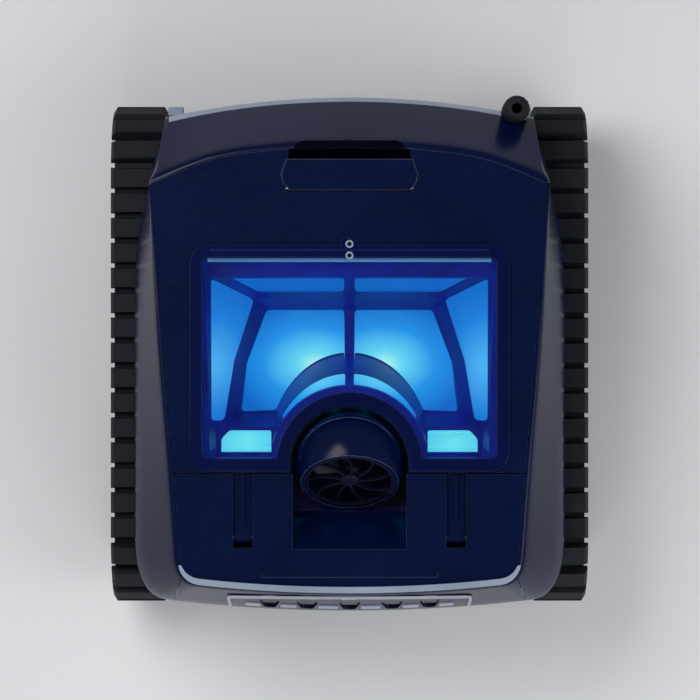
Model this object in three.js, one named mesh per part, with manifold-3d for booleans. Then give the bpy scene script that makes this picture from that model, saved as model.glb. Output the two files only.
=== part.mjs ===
// Tracked robotic pool cleaner with a top-loading filter canister.
//
// Millimetres, +Z up, +Y towards the nose, +X to the right-hand track.
// The origin lies on the floor under the middle of the machine.
//
// The upper body is one lofted envelope, hollowed to a moulded wall and then parted into
// nose hood, lid, flanks and tail hood.  The filter canister is a second, funnel-shaped loft.

import * as THREE from 'three';
import { mergeVertices } from 'three/addons/utils/BufferGeometryUtils.js';
import Module from 'manifold-3d';

const wasm = await Module();
wasm.setup();

// ---------------------------------------------------------------- driving dimensions

const HALF_LENGTH = 213.5; // nose bumper and tail edge
const WALL = 3; // moulded wall
const GAP = 0.4; // parting gap between neighbouring pieces
const REST_GAP = 0.3; // gap under a piece that rests on another
const SIDES = [[1, 'right'], [-1, 'left']];

const DECK = { top: 210, rim: 3.5, lidTail: -96.3, tailStart: -97.8, noseSplit: 139.5 };
const SKIRT = { bottom: 128, halfWidth: 179 };
const TUB = { halfWidth: 150, bottom: 16, top: 127.6, tail: -196, nose: 188, step: 108, stepZ: 70 };
const BUMPER = { noseBottom: 84, tailBottom: 66, halfWidth: 150, wall: 4 };

const TRACK = { inner: 154, outer: 200, wheelY: 147.5, axleZ: 62.5, beltIn: 50.5, beltOut: 54.5 };
const LUG = { count: 44, phase: 0.1, tip: TRACK.axleZ, base: 17.4, crest: 15, taper: 3 };
const WHEEL = { inner: 156.5, outer: 195.5, radius: 49.8, rim: 6, hub: 12, bore: 6.4, axle: 6 };
const ROLLER = { radius: 15, y: 48 };
const BRUSH = { y: 151, z: 33, core: 13, tip: 30, halfLength: 145.5, fins: 8, journal: 5 };

const BALL = { y: -91, z: 196.5, outer: 43.5, wall: 3, mouth: 17.5, bottom: 175 };
const JET_TILT = THREE.MathUtils.degToRad(54.3); // jet axis, back from straight up
const TROUGH = { halfWidth: 46.5, tail: -158, floor: 173 };

const WINDOW = { halfWidth: 120, nose: 78.5, tail: -85, arch: 60, bar: 10.3, corner: 6 };
const LID_ARCH = 48; // lid clearance round the outlet ball
const HINGE = { y: -150, z: 201, pin: 2, barrel: 5, inner: 79.6, outer: 94.4, wall: 3 };
const LATCH = { y: 135, z: 207.6, barrel: 2.4, pin: 1.1, nose: 158.8, halfWidth: 50 };

const CAN = { rim: 194, floor: 112, wall: 3, arch: -85, shelf: 167, rib: 4 };
const PORT = { inner: 66, outer: 104, nose: -64.7, tail: -79.7 };
const ROD = { y: 76.7, z: CAN.rim + 3.6, radius: 1.5 };
const PUMP = { radius: 18, near: -40, far: -64 }; // along the jet axis from the ball's centre
const STRIP = { bottom: 140, top: 154, left: -150, right: 126, depth: 1.8 };
const GLAND = { x: 138, y: 202.5, radius: 11, bottom: 126, top: 176 };

// ---------------------------------------------------------------- finishes

const finish = (color, roughness, metalness = 0, extra = {}) =>
  new THREE.MeshStandardMaterial({ color, roughness, metalness, ...extra });

const GLOSS = finish(0x0a1024, 0.22);
const MATTE = finish(0x0c0f18, 0.6);
const RUBBER = finish(0x101216, 0.85);
const TRIM = finish(0x8b96a8, 0.35);
const STEEL = finish(0xb9bec6, 0.3, 1);
const BLUE = finish(0x0c24a8, 0.3);
const GLOW = finish(0x38b6ee, 0.5, 0, { emissive: 0x2aa0e0 });
const GLASS = finish(0x18203a, 0.08, 0, { transparent: true, opacity: 0.35 });

// ---------------------------------------------------------------- solids

/** Closed geometry as a solid that can be joined and cut. */
function solid(geometry) {
  for (const name of ['normal', 'uv']) geometry.deleteAttribute(name);
  const merged = mergeVertices(geometry, 1e-4);
  const vertProperties = new Float32Array(merged.attributes.position.array);
  const triVerts = new Uint32Array(merged.index.array);
  return new wasm.Manifold(new wasm.Mesh({ numProp: 3, vertProperties, triVerts }));
}

const point = ([x, y]) => new THREE.Vector2(x, y);

function extrude(points, depth) {
  const shape = new THREE.Shape(points.map(point));
  return new THREE.ExtrudeGeometry(shape, { depth, bevelEnabled: false });
}

/** Plan outline (x, y) raised from z0 to z1. */
const prism = (points, z0, z1) => solid(extrude(points, z1 - z0).translate(0, 0, z0));

const AXES = [[1, 0, 0], [0, 1, 0], [0, 0, 1]].map(axis => new THREE.Vector3(...axis));
const SIDE_VIEW = new THREE.Matrix4().makeBasis(AXES[1], AXES[2], AXES[0]);

/** Side-view outline (y, z) run across the machine from x0 to x1. */
const slab = (points, x0, x1) =>
  solid(extrude(points, x1 - x0).applyMatrix4(SIDE_VIEW).translate(x0, 0, 0));

/** Box between two values on each axis, given in either order. */
function box(x0, x1, y0, y1, z0, z1) {
  const size = [Math.abs(x1 - x0), Math.abs(y1 - y0), Math.abs(z1 - z0)];
  const middle = [(x0 + x1) / 2, (y0 + y1) / 2, (z0 + z1) / 2];
  return solid(new THREE.BoxGeometry(...size).translate(...middle));
}

/** Round bar along X. */
function barX(x0, x1, y, z, radius, segments = 24) {
  const bar = new THREE.CylinderGeometry(radius, radius, Math.abs(x1 - x0), segments);
  return solid(bar.rotateZ(Math.PI / 2).translate((x0 + x1) / 2, y, z));
}

/** Round bar along Z. */
function barZ(x, y, z0, z1, radius, segments = 24) {
  const bar = new THREE.CylinderGeometry(radius, radius, z1 - z0, segments);
  return solid(bar.rotateX(Math.PI / 2).translate(x, y, (z0 + z1) / 2));
}

const union = bodies => bodies.reduce((whole, body) => whole.add(body));
const cut = (body, ...tools) => tools.reduce((left, tool) => left.subtract(tool), body);

/** Closed skin through a stack of plan outlines that have the same number of points. */
function loftGeometry(rings) {
  const count = rings[0].points.length;
  const positions = rings.flatMap(({ points, z }) => points.flatMap(([x, y]) => [x, y, z]));
  const index = [];
  for (let start = 0; start < (rings.length - 1) * count; start += count) {
    for (let i = 0; i < count; i += 1) {
      const a = start + i;
      const b = start + ((i + 1) % count);
      index.push(a, b, b + count, a, b + count, a + count);
    }
  }
  const cap = ring => THREE.ShapeUtils.triangulateShape(ring.points.map(point), []);
  const last = (rings.length - 1) * count;
  for (const [a, b, c] of cap(rings[0])) index.push(c, b, a);
  for (const [a, b, c] of cap(rings.at(-1))) index.push(last + a, last + b, last + c);
  const geometry = new THREE.BufferGeometry();
  geometry.setAttribute('position', new THREE.Float32BufferAttribute(positions, 3));
  geometry.setIndex(index);
  return geometry;
}

const loft = rings => solid(loftGeometry(rings));

// ---------------------------------------------------------------- outlines

const spline = (...points) => new THREE.SplineCurve(points.map(point));
const bend = (start, control, end) =>
  new THREE.QuadraticBezierCurve(point(start), point(control), point(end));

/** Right half run from the tail to the nose, completed by its mirror image. */
function mirroredOutline(spans) {
  const half = spans.flatMap(([curve, steps], i) =>
    curve.getSpacedPoints(steps).slice(i === 0 ? 0 : 1).map(({ x, y }) => [x, y]));
  const left = half.slice(1, -1).reverse().map(([x, y]) => [-x, y]);
  return [...half, ...left];
}

/** Counter-clockwise outline moved inwards by a distance (outwards when negative). */
function inset(points, distance) {
  return points.map(([x, y], i) => {
    const before = point(points.at(i - 1));
    const after = point(points[(i + 1) % points.length]);
    const into = point([x, y]).sub(before).normalize();
    const out = after.sub(point([x, y])).normalize();
    const normal = new THREE.Vector2(-into.y - out.y, into.x + out.x).normalize();
    const reach = distance / Math.max(0.4, -into.y * normal.x + into.x * normal.y);
    return [x + normal.x * reach, y + normal.y * reach];
  });
}

/** Part of an ellipse round (0, y), angles in degrees from +X. */
function arc(y, a, b, from, to, steps) {
  return Array.from({ length: steps + 1 }, (_, i) => {
    const angle = THREE.MathUtils.degToRad(from + ((to - from) * i) / steps);
    return [a * Math.cos(angle), y + b * Math.sin(angle)];
  });
}

/** Rounded rectangle. */
function roundedBox(x0, x1, y0, y1, radius) {
  const corners = [[x1, y0, -90], [x1, y1, 0], [x0, y1, 90], [x0, y0, 180]];
  return corners.flatMap(([x, y, start]) => {
    const cx = x + (x > (x0 + x1) / 2 ? -radius : radius);
    const cy = y + (y > (y0 + y1) / 2 ? -radius : radius);
    return arc(0, radius, radius, start, start + 90, 3).map(([u, v]) => [cx + u, cy + v]);
  });
}

const sided = (side, points) => points.map(([x, y]) => [side * x, y]);

// ---------------------------------------------------------------- assembly

const cleaner = new THREE.Group();

/** Adds a solid as a named piece of the machine. */
function piece(name, body, material, parent = cleaner) {
  const { vertProperties, triVerts } = body.getMesh();
  const geometry = new THREE.BufferGeometry();
  geometry.setAttribute('position', new THREE.BufferAttribute(vertProperties, 3));
  geometry.setIndex(new THREE.BufferAttribute(triVerts, 1));
  geometry.computeVertexNormals();
  const mesh = new THREE.Mesh(geometry, material);
  mesh.name = name;
  parent.add(mesh);
  return mesh;
}

// ---------------------------------------------------------------- body envelope

const skirtLine = mirroredOutline([
  [bend([0, -HALF_LENGTH], [75, -HALF_LENGTH], [150, -204.6]), 4],
  [bend([150, -204.6], [176, -202], [SKIRT.halfWidth, -160]), 5],
  [spline([SKIRT.halfWidth, -160], [SKIRT.halfWidth, -40], [SKIRT.halfWidth, 40], [176, 97], [166, 142]), 6],
  [spline([166, 142], [163, 160], [157, 175], [153, 197]), 3],
  [bend([153, 197], [76, HALF_LENGTH], [0, HALF_LENGTH]), 6],
]);
const deckLine = mirroredOutline([
  [bend([0, -195.6], [63, -195.6], [122, -189]), 4],
  [bend([122, -189], [140, -187], [141.5, -165]), 5],
  [spline([141.5, -165], [147.8, -84], [155.4, 5], [163.5, 136]), 6],
  [bend([163.5, 136], [164.5, 142], [158, 144]), 3],
  [spline([158, 144], [111.6, 162], [55.3, 170.2], [0, 172.5]), 6],
]);

/** Outline part way from the skirt line (0) to the deck line (1). */
const between = (blend, offset = 0) => inset(skirtLine.map(([x, y], i) =>
  [x + (deckLine[i][0] - x) * blend, y + (deckLine[i][1] - y) * blend]), offset);

const LEVELS = [[SKIRT.bottom, 0], [144, 0], [151, 0.05], [203, 0.9], [207.5, 0.97], [DECK.top, 1.03]];

/** The body envelope, drawn in by a wall thickness on every side. */
const envelope = wall => loft(LEVELS.map(([z, blend], i) => {
  const lift = i === 0 ? wall : 0;
  const drop = i >= 4 ? wall : 0;
  return { points: between(blend, wall), z: z + lift - drop };
}));

const underBody = prism(inset(skirtLine, WALL), 120, 132)
  .intersect(box(-TUB.halfWidth - GAP, TUB.halfWidth + GAP, -240, 240, 100, 140));
const outer = envelope(0);
const shell = outer.subtract(envelope(WALL)).subtract(underBody);

const innerDeck = inset(deckLine, DECK.rim);
const deckZone = offset => prism(inset(innerDeck, offset), 180, 230);
const tailZone = offset => prism([
  [-134 - offset, -176 + offset], [134 + offset, -176 + offset],
  [160 + offset, -240], [-160 - offset, -240],
].reverse(), 60, 230);
const behind = y => box(-300, 300, -300, y, 0, 300);
const ahead = y => box(-300, 300, y, 300, 0, 300);

// ---------------------------------------------------------------- nose hood

/** Layer of the envelope between two depths. */
const skin = (near, far) => envelope(near).subtract(envelope(far));

/** Wall of a bumper under the hood, between the skirt line and its inset, nose (1) or tail (-1). */
function bumperWall(end, bottom) {
  const reach = box(-BUMPER.halfWidth, BUMPER.halfWidth, end * 185, end * 240, bottom, SKIRT.bottom + 2);
  const ring = prism(skirtLine, bottom, SKIRT.bottom + 2)
    .subtract(prism(inset(skirtLine, BUMPER.wall), bottom - 1, SKIRT.bottom + 3));
  return ring.intersect(reach);
}

const scoopLine = [[51, 160.5], [43.5, 171.5], [40, 174.5], [-40, 174.5], [-43.5, 171.5], [-51, 160.5]];
const scoopCup = prism(inset(scoopLine, -WALL), 180, 209).intersect(outer);
const glandSeat = barZ(GLAND.x, GLAND.y, 60, 230, GLAND.radius + GAP);

const noseZone = ahead(DECK.noseSplit + GAP / 2).subtract(deckZone(-GAP / 2));
const noseHood = cut(
  union([shell, scoopCup]).intersect(noseZone).add(bumperWall(1, BUMPER.noseBottom)),
  prism(scoopLine, 183, 230),
  skin(-1, STRIP.depth + 0.2)
    .intersect(box(STRIP.left - GAP, STRIP.right + GAP, 190, 240, STRIP.bottom, STRIP.top)),
  glandSeat,
);
piece('nose_hood', noseHood, GLOSS);

const noseStrip = skin(0, STRIP.depth)
  .intersect(box(STRIP.left, STRIP.right, 190, 240, STRIP.bottom + GAP, STRIP.top - GAP));
piece('nose_strip', noseStrip.subtract(glandSeat), TRIM);
piece('corner_tab_left', box(-152, -139, 199.8, 207, 112, 119), TRIM);
piece('corner_tab_right', box(139, 152, 199.8, 207, 112, 119), TRIM);

// ---------------------------------------------------------------- flanks

for (const [side, label] of SIDES) {
  const half = box(side * 90, side * 300, -300, DECK.noseSplit - GAP / 2, 0, 300);
  const flank = cut(shell.intersect(half), deckZone(-GAP), tailZone(GAP));
  piece(`flank_${label}`, flank, GLOSS);
}

// ---------------------------------------------------------------- tail hood and grille

const grilleZone = offset => prism(inset([
  [-98, -230], [98, -230], [102, -197.4], [-102, -197.4],
], offset), 148, 204);

const troughWall = slab([[-97.8, 170], [-131, 170], [-162, 207.5], [-97.8, 207.5]], -49, 49);
const troughRoom = slab([
  [-80, TROUGH.floor], [-129, TROUGH.floor], [TROUGH.tail, 211], [-80, 211],
], -TROUGH.halfWidth, TROUGH.halfWidth);
const ball = radius => solid(new THREE.SphereGeometry(radius, 24, 14)
  .rotateX(Math.PI / 2).translate(0, BALL.y, BALL.z));

const hingeWalls = SIDES.flatMap(([side]) => [
  box(side * (HINGE.inner - 0.6 - HINGE.wall), side * (HINGE.inner - 0.6), -158, -142, 190, 207.5),
  box(side * (HINGE.outer + 0.6), side * (HINGE.outer + 0.6 + HINGE.wall), -158, -142, 190, 207.5),
]);
const hingeCuts = SIDES.flatMap(([side]) => [
  box(side * (HINGE.inner - 0.6), side * (HINGE.outer + 0.6), -158, -90, 180, 230),
  barX(side * 70, side * 104, HINGE.y, HINGE.z, HINGE.pin + REST_GAP, 16),
]);

const tailTop = shell.intersect(union([
  deckZone(0).intersect(behind(DECK.tailStart)),
  tailZone(0),
]));
const tailHood = cut(
  union([tailTop, troughWall, ...hingeWalls, bumperWall(-1, BUMPER.tailBottom).intersect(tailZone(0))]),
  troughRoom, ball(BALL.outer + 0.6), ...hingeCuts, grilleZone(0),
);
piece('tail_hood', tailHood, GLOSS);

const tailStripInner = inset(deckLine, 2.2).map(([x, y]) => [x, y + 3.8]);
const tailStrip = prism(inset(deckLine, 0.8), DECK.top + REST_GAP, DECK.top + 1.6)
  .subtract(prism(tailStripInner, 200, 230))
  .intersect(box(-150, 150, -240, -172, 0, 300));
piece('tail_strip', tailStrip, TRIM);

/** Six-sided vent through the tail, seen from behind. */
function vent(x, halfWidth) {
  const points = [[0.5, 1], [-0.5, 1], [-1, 0], [-0.5, -1], [0.5, -1], [1, 0]]
    .map(([u, v]) => [x + u * halfWidth, 176 + v * 22]);
  return solid(extrude(points, 60).rotateX(Math.PI / 2).translate(0, -170, 0));
}
const vents = [[0, 9], [35, 9], [-35, 9], [66, 8.5], [-66, 8.5]].map(([x, half]) => vent(x, half));
piece('tail_grille', cut(shell.intersect(grilleZone(GAP)), ...vents), TRIM);

// ---------------------------------------------------------------- lid

const archBore = radius => barZ(0, BALL.y, 150, 240, radius, 40);
const windowOpening = (grow, z0, z1) => {
  const half = WINDOW.halfWidth + grow;
  const outline = roundedBox(-half, half, WINDOW.tail - grow, WINDOW.nose + grow, WINDOW.corner + grow);
  return prism(outline, z0, z1).subtract(archBore(WINDOW.arch - grow));
};

const latchLine = [
  [LATCH.halfWidth, LATCH.y], [55.5, 147], [51.5, LATCH.nose],
  [-51.5, LATCH.nose], [-55.5, 147], [-LATCH.halfWidth, LATCH.y],
];
const latchRoom = union([
  prism(inset(latchLine, -0.6), 190, 230),
  box(-50.6, 50.6, LATCH.y - LATCH.barrel - 0.5, LATCH.y + 4, 190, 230),
  box(-50, 50, LATCH.nose - 4, 180, 190, 230),
]);
const latchEars = [-1, 1].map(side =>
  box(side * 51, side * 54, LATCH.y - 4, LATCH.y + 1, 203, 207.5));

const lidRidge = SIDES.map(([side]) => box(side * 66, side * 112, DECK.lidTail, -90.6, 200, 207.5));
const lidPlate = cut(
  shell.intersect(deckZone(GAP / 2)).subtract(behind(DECK.lidTail)),
  archBore(LID_ARCH), windowOpening(0, 180, 230), latchRoom,
);
const lid = cut(
  union([lidPlate, ...lidRidge, ...latchEars]),
  barX(-60, 60, LATCH.y, LATCH.z, LATCH.pin + REST_GAP, 16),
);
piece('lid', lid, GLOSS);

const bezelTab = box(-7, 7, 80, 95, DECK.top + REST_GAP, DECK.top + 2);
const bezel = cut(
  windowOpening(WINDOW.bar, DECK.top + REST_GAP, DECK.top + 2).add(bezelTab),
  windowOpening(0.4, 200, 230),
);
piece('window_bezel', bezel, GLOSS);
piece('window_gasket', windowOpening(4.5, 204.8, 206.7).subtract(windowOpening(0.4, 200, 230)), RUBBER);
piece('window_pane', windowOpening(4, 201.5, 204.5), GLASS);

for (const [y, label] of [[89.6, 'nose'], [80.3, 'tail']]) {
  const ring = barZ(0, y, DECK.top + 2.3, DECK.top + 4, 3.3, 16).subtract(barZ(0, y, 200, 230, 1.75, 10));
  piece(`indicator_ring_${label}`, ring, TRIM);
}

const latchPlate = prism(latchLine, 206.6, DECK.top);
const latchBarrel = barX(-LATCH.halfWidth, LATCH.halfWidth, LATCH.y, LATCH.z, LATCH.barrel, 20);
const latchLip = box(-30, 30, LATCH.nose - 3, LATCH.nose, 202, 207);
const latchPaddle = union([latchPlate, latchBarrel, latchLip])
  .subtract(barX(-60, 60, LATCH.y, LATCH.z, LATCH.pin + REST_GAP, 16));
piece('latch_paddle', latchPaddle, GLOSS);
piece('latch_pin', barX(-54, 54, LATCH.y, LATCH.z, LATCH.pin, 12), STEEL);

for (const [side, label] of SIDES) {
  const strap = box(side * HINGE.inner, side * HINGE.outer, HINGE.y, -96.6, 197.5, 205.5);
  const foot = box(side * HINGE.inner, side * HINGE.outer, -97, -87, 196.4, 199.7);
  const rib = box(side * 85.5, side * 88.5, -138, -97.5, 205, 208);
  const barrel = barX(side * HINGE.inner, side * HINGE.outer, HINGE.y, HINGE.z, HINGE.barrel, 24);
  const arm = union([strap, foot, rib, barrel])
    .subtract(barX(side * 70, side * 104, HINGE.y, HINGE.z, HINGE.pin + REST_GAP, 16));
  piece(`hinge_arm_${label}`, arm, MATTE);
  piece(`hinge_pin_${label}`, barX(side * 76, side * 98, HINGE.y, HINGE.z, HINGE.pin, 16), STEEL);
}

// ---------------------------------------------------------------- filter canister

const rimLine = [
  [121, 66], ...sided(-1, [[121, 66]]), ...sided(-1, [[117, -85], [61, -85]]),
  ...arc(CAN.arch, 61, 56, 180, 0, 10).slice(1, -1), [61, -85], [117, -85],
];
const floorAngle = THREE.MathUtils.radToDeg(Math.asin(33 / 82));
const floorLine = [
  [72, 40], ...sided(-1, [[72, 40]]), ...sided(-1, [[95, -52], [60.2, -52]]),
  ...arc(CAN.arch, 65.8, 82, 180 - floorAngle, floorAngle, 10).slice(1, -1), [60.2, -52], [95, -52],
];

/** Funnel of the canister, drawn in by a wall thickness, with its top edge raised to cut through. */
const funnel = (wall, top = CAN.rim) => loft([
  { points: inset(floorLine, wall), z: CAN.floor + wall },
  { points: inset(rimLine, wall), z: CAN.rim - 1 },
  { points: inset(rimLine, wall), z: top },
]);

const canOpenings = {};
for (const [side, label] of SIDES) {
  const openings = {
    front: [[CAN.rib, 63.2], [CAN.rib, 51.3], [76, 51.3], [98.5, 63.2]],
    arch: [...arc(CAN.arch, 64, 69, 30, 87, 6), ...arc(CAN.arch, 62, 58.5, 87, 30, 6)],
    side: [[114, 62.5], [79.5, 45.5], [95.5, -5.5], [103.5, -55], [113.5, -55]],
    floor: [
      [CAN.rib, 37.2], [CAN.rib, -6], ...arc(CAN.arch, 68.5, 86, 86, 34, 5), [91, -48.5], [86, -7.2], [69.7, 37.2],
    ],
  };
  for (const [name, points] of Object.entries(openings)) {
    canOpenings[`${name}_${label}`] = sided(side, points);
  }
}
const counterClockwise = points =>
  (THREE.ShapeUtils.isClockWise(points.map(point)) ? [...points].reverse() : points);

/** Recess at the tail of the canister over one inlet port, its shelf at the bottom. */
const porch = (side, wall, z0, z1) =>
  box(side * (60 + wall), side * (113 - wall), -88 + wall, -60, z0, z1);
const canShelves = SIDES.map(([side]) => porch(side, 0, CAN.shelf, CAN.shelf + CAN.wall));
const canRooms = SIDES.map(([side]) => porch(side, CAN.wall, CAN.shelf + CAN.wall, CAN.rim + 1));
const canRoom = cut(funnel(CAN.wall, CAN.rim + 1), ...canShelves);
const canFlange = prism(roundedBox(-128, 128, -88, 88, 8), CAN.rim - 3, CAN.rim)
  .subtract(archBore(53)).subtract(prism(inset(rimLine, CAN.wall), 150, 230));
const rodEars = [-1, 1].map(side =>
  box(side * 116, side * 120, 73.7, 79.7, CAN.rim - 1, CAN.rim + 6.5));
const ports = SIDES.map(([side]) =>
  box(side * PORT.inner, side * PORT.outer, PORT.tail, PORT.nose, 100, CAN.shelf + 4));

const canFrame = cut(
  union([funnel(0), canFlange, ...rodEars, ...SIDES.map(([side]) => porch(side, 0, CAN.shelf, CAN.rim - 2))]),
  canRoom, ...canRooms,
  ...Object.values(canOpenings).map(points => prism(points, 90, CAN.rim - 4)),
  ...ports,
  barX(-125, 125, ROD.y, ROD.z, ROD.radius + REST_GAP, 16),
);
piece('canister_frame', canFrame, BLUE);

const meshSheet = funnel(0.8).subtract(funnel(2.2, CAN.rim + 1));
for (const [label, points] of Object.entries(canOpenings)) {
  const patch = prism(inset(counterClockwise(points), REST_GAP), 90, CAN.rim - 4.4);
  piece(`mesh_${label}`, meshSheet.intersect(patch), GLOW);
}
piece('canister_rod', barX(-120, 120, ROD.y, ROD.z, ROD.radius, 12), STEEL);

for (const [side, label] of SIDES) {
  const flap = box(side * (PORT.inner - 1.5), side * (PORT.outer + 1.5), -79, -63, CAN.shelf + 3.3, CAN.shelf + 5);
  const barrel = barX(side * (PORT.inner - 1.5), side * (PORT.outer + 1.5), -79, CAN.shelf + 5, 1.7, 16);
  piece(`inlet_flap_${label}`, flap.add(barrel), GLOW);
}

// ---------------------------------------------------------------- outlet and pump

/** Half space beyond a distance along the jet axis from the ball's centre. */
const beyondJet = distance => solid(new THREE.BoxGeometry(200, 200, 100)
  .translate(0, 0, distance + 50).rotateX(JET_TILT).translate(0, BALL.y, BALL.z));
const pumpBore = solid(new THREE.CylinderGeometry(PUMP.radius + 0.6, PUMP.radius + 0.6, 60, 24)
  .rotateX(Math.PI / 2).translate(0, 0, PUMP.near - 20).rotateX(JET_TILT).translate(0, BALL.y, BALL.z));
const outletBall = cut(
  ball(BALL.outer), ball(BALL.outer - BALL.wall), beyondJet(BALL.mouth), pumpBore,
  box(-60, 60, -150, -30, 100, BALL.bottom),
);
piece('outlet_ball', outletBall, GLOSS);

const jet = new THREE.Group();
jet.position.set(0, BALL.y, BALL.z);
jet.rotation.x = JET_TILT;
cleaner.add(jet);

const guardBlades = Array.from({ length: 9 }, (_, i) => {
  const blade = new THREE.BoxGeometry(30, 1.6, 3.4).translate(20.5, 0, 14.3);
  return solid(blade.rotateZ((i * 2 * Math.PI) / 9));
});
const guardRing = barZ(0, 0, 12.5, 16.5, 36.1, 28).subtract(barZ(0, 0, 10, 20, 34.2, 28));
piece('outlet_guard', union([guardRing, barZ(0, 0, 12.5, 16.5, 8, 20), ...guardBlades]), MATTE, jet);

const propBlades = Array.from({ length: 4 }, (_, i) => {
  const blade = new THREE.BoxGeometry(26, 17, 1.8).rotateX(0.6).translate(19.5, 0, -1);
  return solid(blade.rotateZ((i * Math.PI) / 2));
});
const propHub = solid(new THREE.LatheGeometry(
  [[0, -7], [8, -7], [8, 5], [5.5, 9], [0, 10.5]].map(point), 20).rotateX(Math.PI / 2));
piece('propeller', union([propHub, ...propBlades]).subtract(barZ(0, 0, -20, 4, 2.8, 20)), MATTE, jet);
piece('propeller_shaft', barZ(0, 0, PUMP.near + 0.4, 3.6, 2.5, 20), STEEL, jet);

const pumpCan = solid(new THREE.LatheGeometry([
  [0, PUMP.far], [PUMP.radius - 3, PUMP.far], [PUMP.radius, PUMP.far + 3], [PUMP.radius, PUMP.near - 2],
  [PUMP.radius - 2, PUMP.near], [0, PUMP.near],
].map(point), 28).rotateX(Math.PI / 2));
piece('pump_motor', pumpCan, MATTE, jet);

const pumpPost = slab([[-62, 19.4], [-30, 19.4], [-34, 150], [-62, 168]], -9, 9)
  .subtract(pumpBore);
piece('pump_cradle', pumpPost, MATTE);

// ---------------------------------------------------------------- tub and what it holds

const tubSide = [
  [-180, TUB.bottom], [TUB.step, TUB.bottom], [TUB.step, TUB.stepZ], [TUB.nose, TUB.stepZ],
  [TUB.nose, TUB.top], [TUB.tail, TUB.top], [TUB.tail, 60], [-190, 28],
];
const tubRoom = inset(tubSide, WALL).map(([y, z], i) => (i === 4 || i === 5 ? [y, TUB.top + 5] : [y, z]));
const suctionSlots = SIDES.map(([side]) =>
  box(side * PORT.inner, side * PORT.outer, PORT.tail, PORT.nose, 0, 30));
const shaftHoles = barX(-160, 160, -TRACK.wheelY, TRACK.axleZ, 6.6, 24);
const tub = cut(
  slab(tubSide, -TUB.halfWidth, TUB.halfWidth),
  slab(tubRoom, -TUB.halfWidth + WALL, TUB.halfWidth - WALL),
  ...suctionSlots, shaftHoles,
);
piece('chassis_tub', tub, MATTE);

for (const [side, label] of SIDES) {
  const duct = box(side * (PORT.inner + 0.5), side * (PORT.outer - 0.5), PORT.tail + 0.5, PORT.nose - 0.5,
    16.4, CAN.shelf - REST_GAP);
  const bore = box(side * (PORT.inner + 2.5), side * (PORT.outer - 2.5), PORT.tail + 2.5, PORT.nose - 2.5, 0, 200);
  piece(`inlet_duct_${label}`, duct.subtract(bore), MATTE);

  const gearCan = barX(side * 56, side * 108, -TRACK.wheelY, TRACK.axleZ, 19);
  const gearBox = box(side * 107, side * 146.6, -172, -124, 36, 88);
  const motor = gearCan.add(gearBox).subtract(barX(side * 120, side * 160, -TRACK.wheelY, TRACK.axleZ, 6.4, 24));
  piece(`drive_motor_${label}`, motor, MATTE);
}
piece('electronics_box', prism(roundedBox(-58, 58, -22, 92, 8), 19.4, 102), MATTE);

// ---------------------------------------------------------------- tracks

/** Stadium outline of the track run at a distance from the wheel axles. */
function trackLine(radius) {
  const end = (y, from) => Array.from({ length: 16 }, (_, i) => {
    const angle = THREE.MathUtils.degToRad(from + i * 12);
    return [y + radius * Math.cos(angle), TRACK.axleZ + radius * Math.sin(angle)];
  });
  return [...end(TRACK.wheelY, -90), ...end(-TRACK.wheelY, 90)];
}

/** Place and heading of a lug along the belt, as (y, z, angle of its outward direction). */
function lugPlace(fraction) {
  const pitchRadius = (TRACK.beltIn + TRACK.beltOut) / 2;
  const straight = 2 * TRACK.wheelY;
  const turn = Math.PI * pitchRadius;
  let along = fraction * 2 * (straight + turn);
  if (along < straight) return [TRACK.wheelY - along, TRACK.axleZ, Math.PI / 2];
  along -= straight;
  if (along < turn) return [-TRACK.wheelY, TRACK.axleZ, Math.PI / 2 + along / pitchRadius];
  along -= turn;
  if (along < straight) return [-TRACK.wheelY + along, TRACK.axleZ, -Math.PI / 2];
  along -= straight;
  return [TRACK.wheelY, TRACK.axleZ, -Math.PI / 2 + along / pitchRadius];
}

/** One tread lug: a bar across the belt with sloping flanks and ends. */
function lug(side, fraction) {
  const [y, z, angle] = lugPlace(fraction);
  const width = TRACK.outer - TRACK.inner;
  const rectangle = (u, v) => [[u, -v], [u, v], [-u, v], [-u, -v]];
  const foot = rectangle(width / 2, LUG.base / 2);
  const crest = rectangle(width / 2 - LUG.taper, LUG.crest / 2);
  const bar = loftGeometry([{ points: foot, z: TRACK.beltOut - 1 }, { points: crest, z: LUG.tip }]);
  bar.rotateX(angle - Math.PI / 2);
  bar.translate(side * (TRACK.inner + width / 2), y, z);
  return solid(bar);
}

/** Spoked wheel across the belt, built round its own axle. */
function wheel(radius, teeth) {
  const width = WHEEL.outer - WHEEL.inner;
  const half = width / 2;
  const disc = r => barX(-half, half, 0, 0, r, 24);
  const rim = disc(teeth ? radius - 3 : radius).subtract(disc(radius - 3 - WHEEL.rim));
  const spokes = Array.from({ length: 5 }, (_, i) => {
    const spoke = new THREE.BoxGeometry(width - 6, 7, radius - WHEEL.rim - 4);
    spoke.translate(0, 0, (radius - WHEEL.rim + 4) / 2 + 3).rotateX((i * 2 * Math.PI) / 5);
    return solid(spoke);
  });
  const teethBars = teeth ? Array.from({ length: 10 }, (_, i) => {
    const tooth = new THREE.BoxGeometry(width - 8, 7, 6).translate(0, 0, radius - 3.1);
    return solid(tooth.rotateX((i * Math.PI) / 5));
  }) : [];
  return union([rim, disc(WHEEL.hub), ...spokes, ...teethBars]);
}

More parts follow.
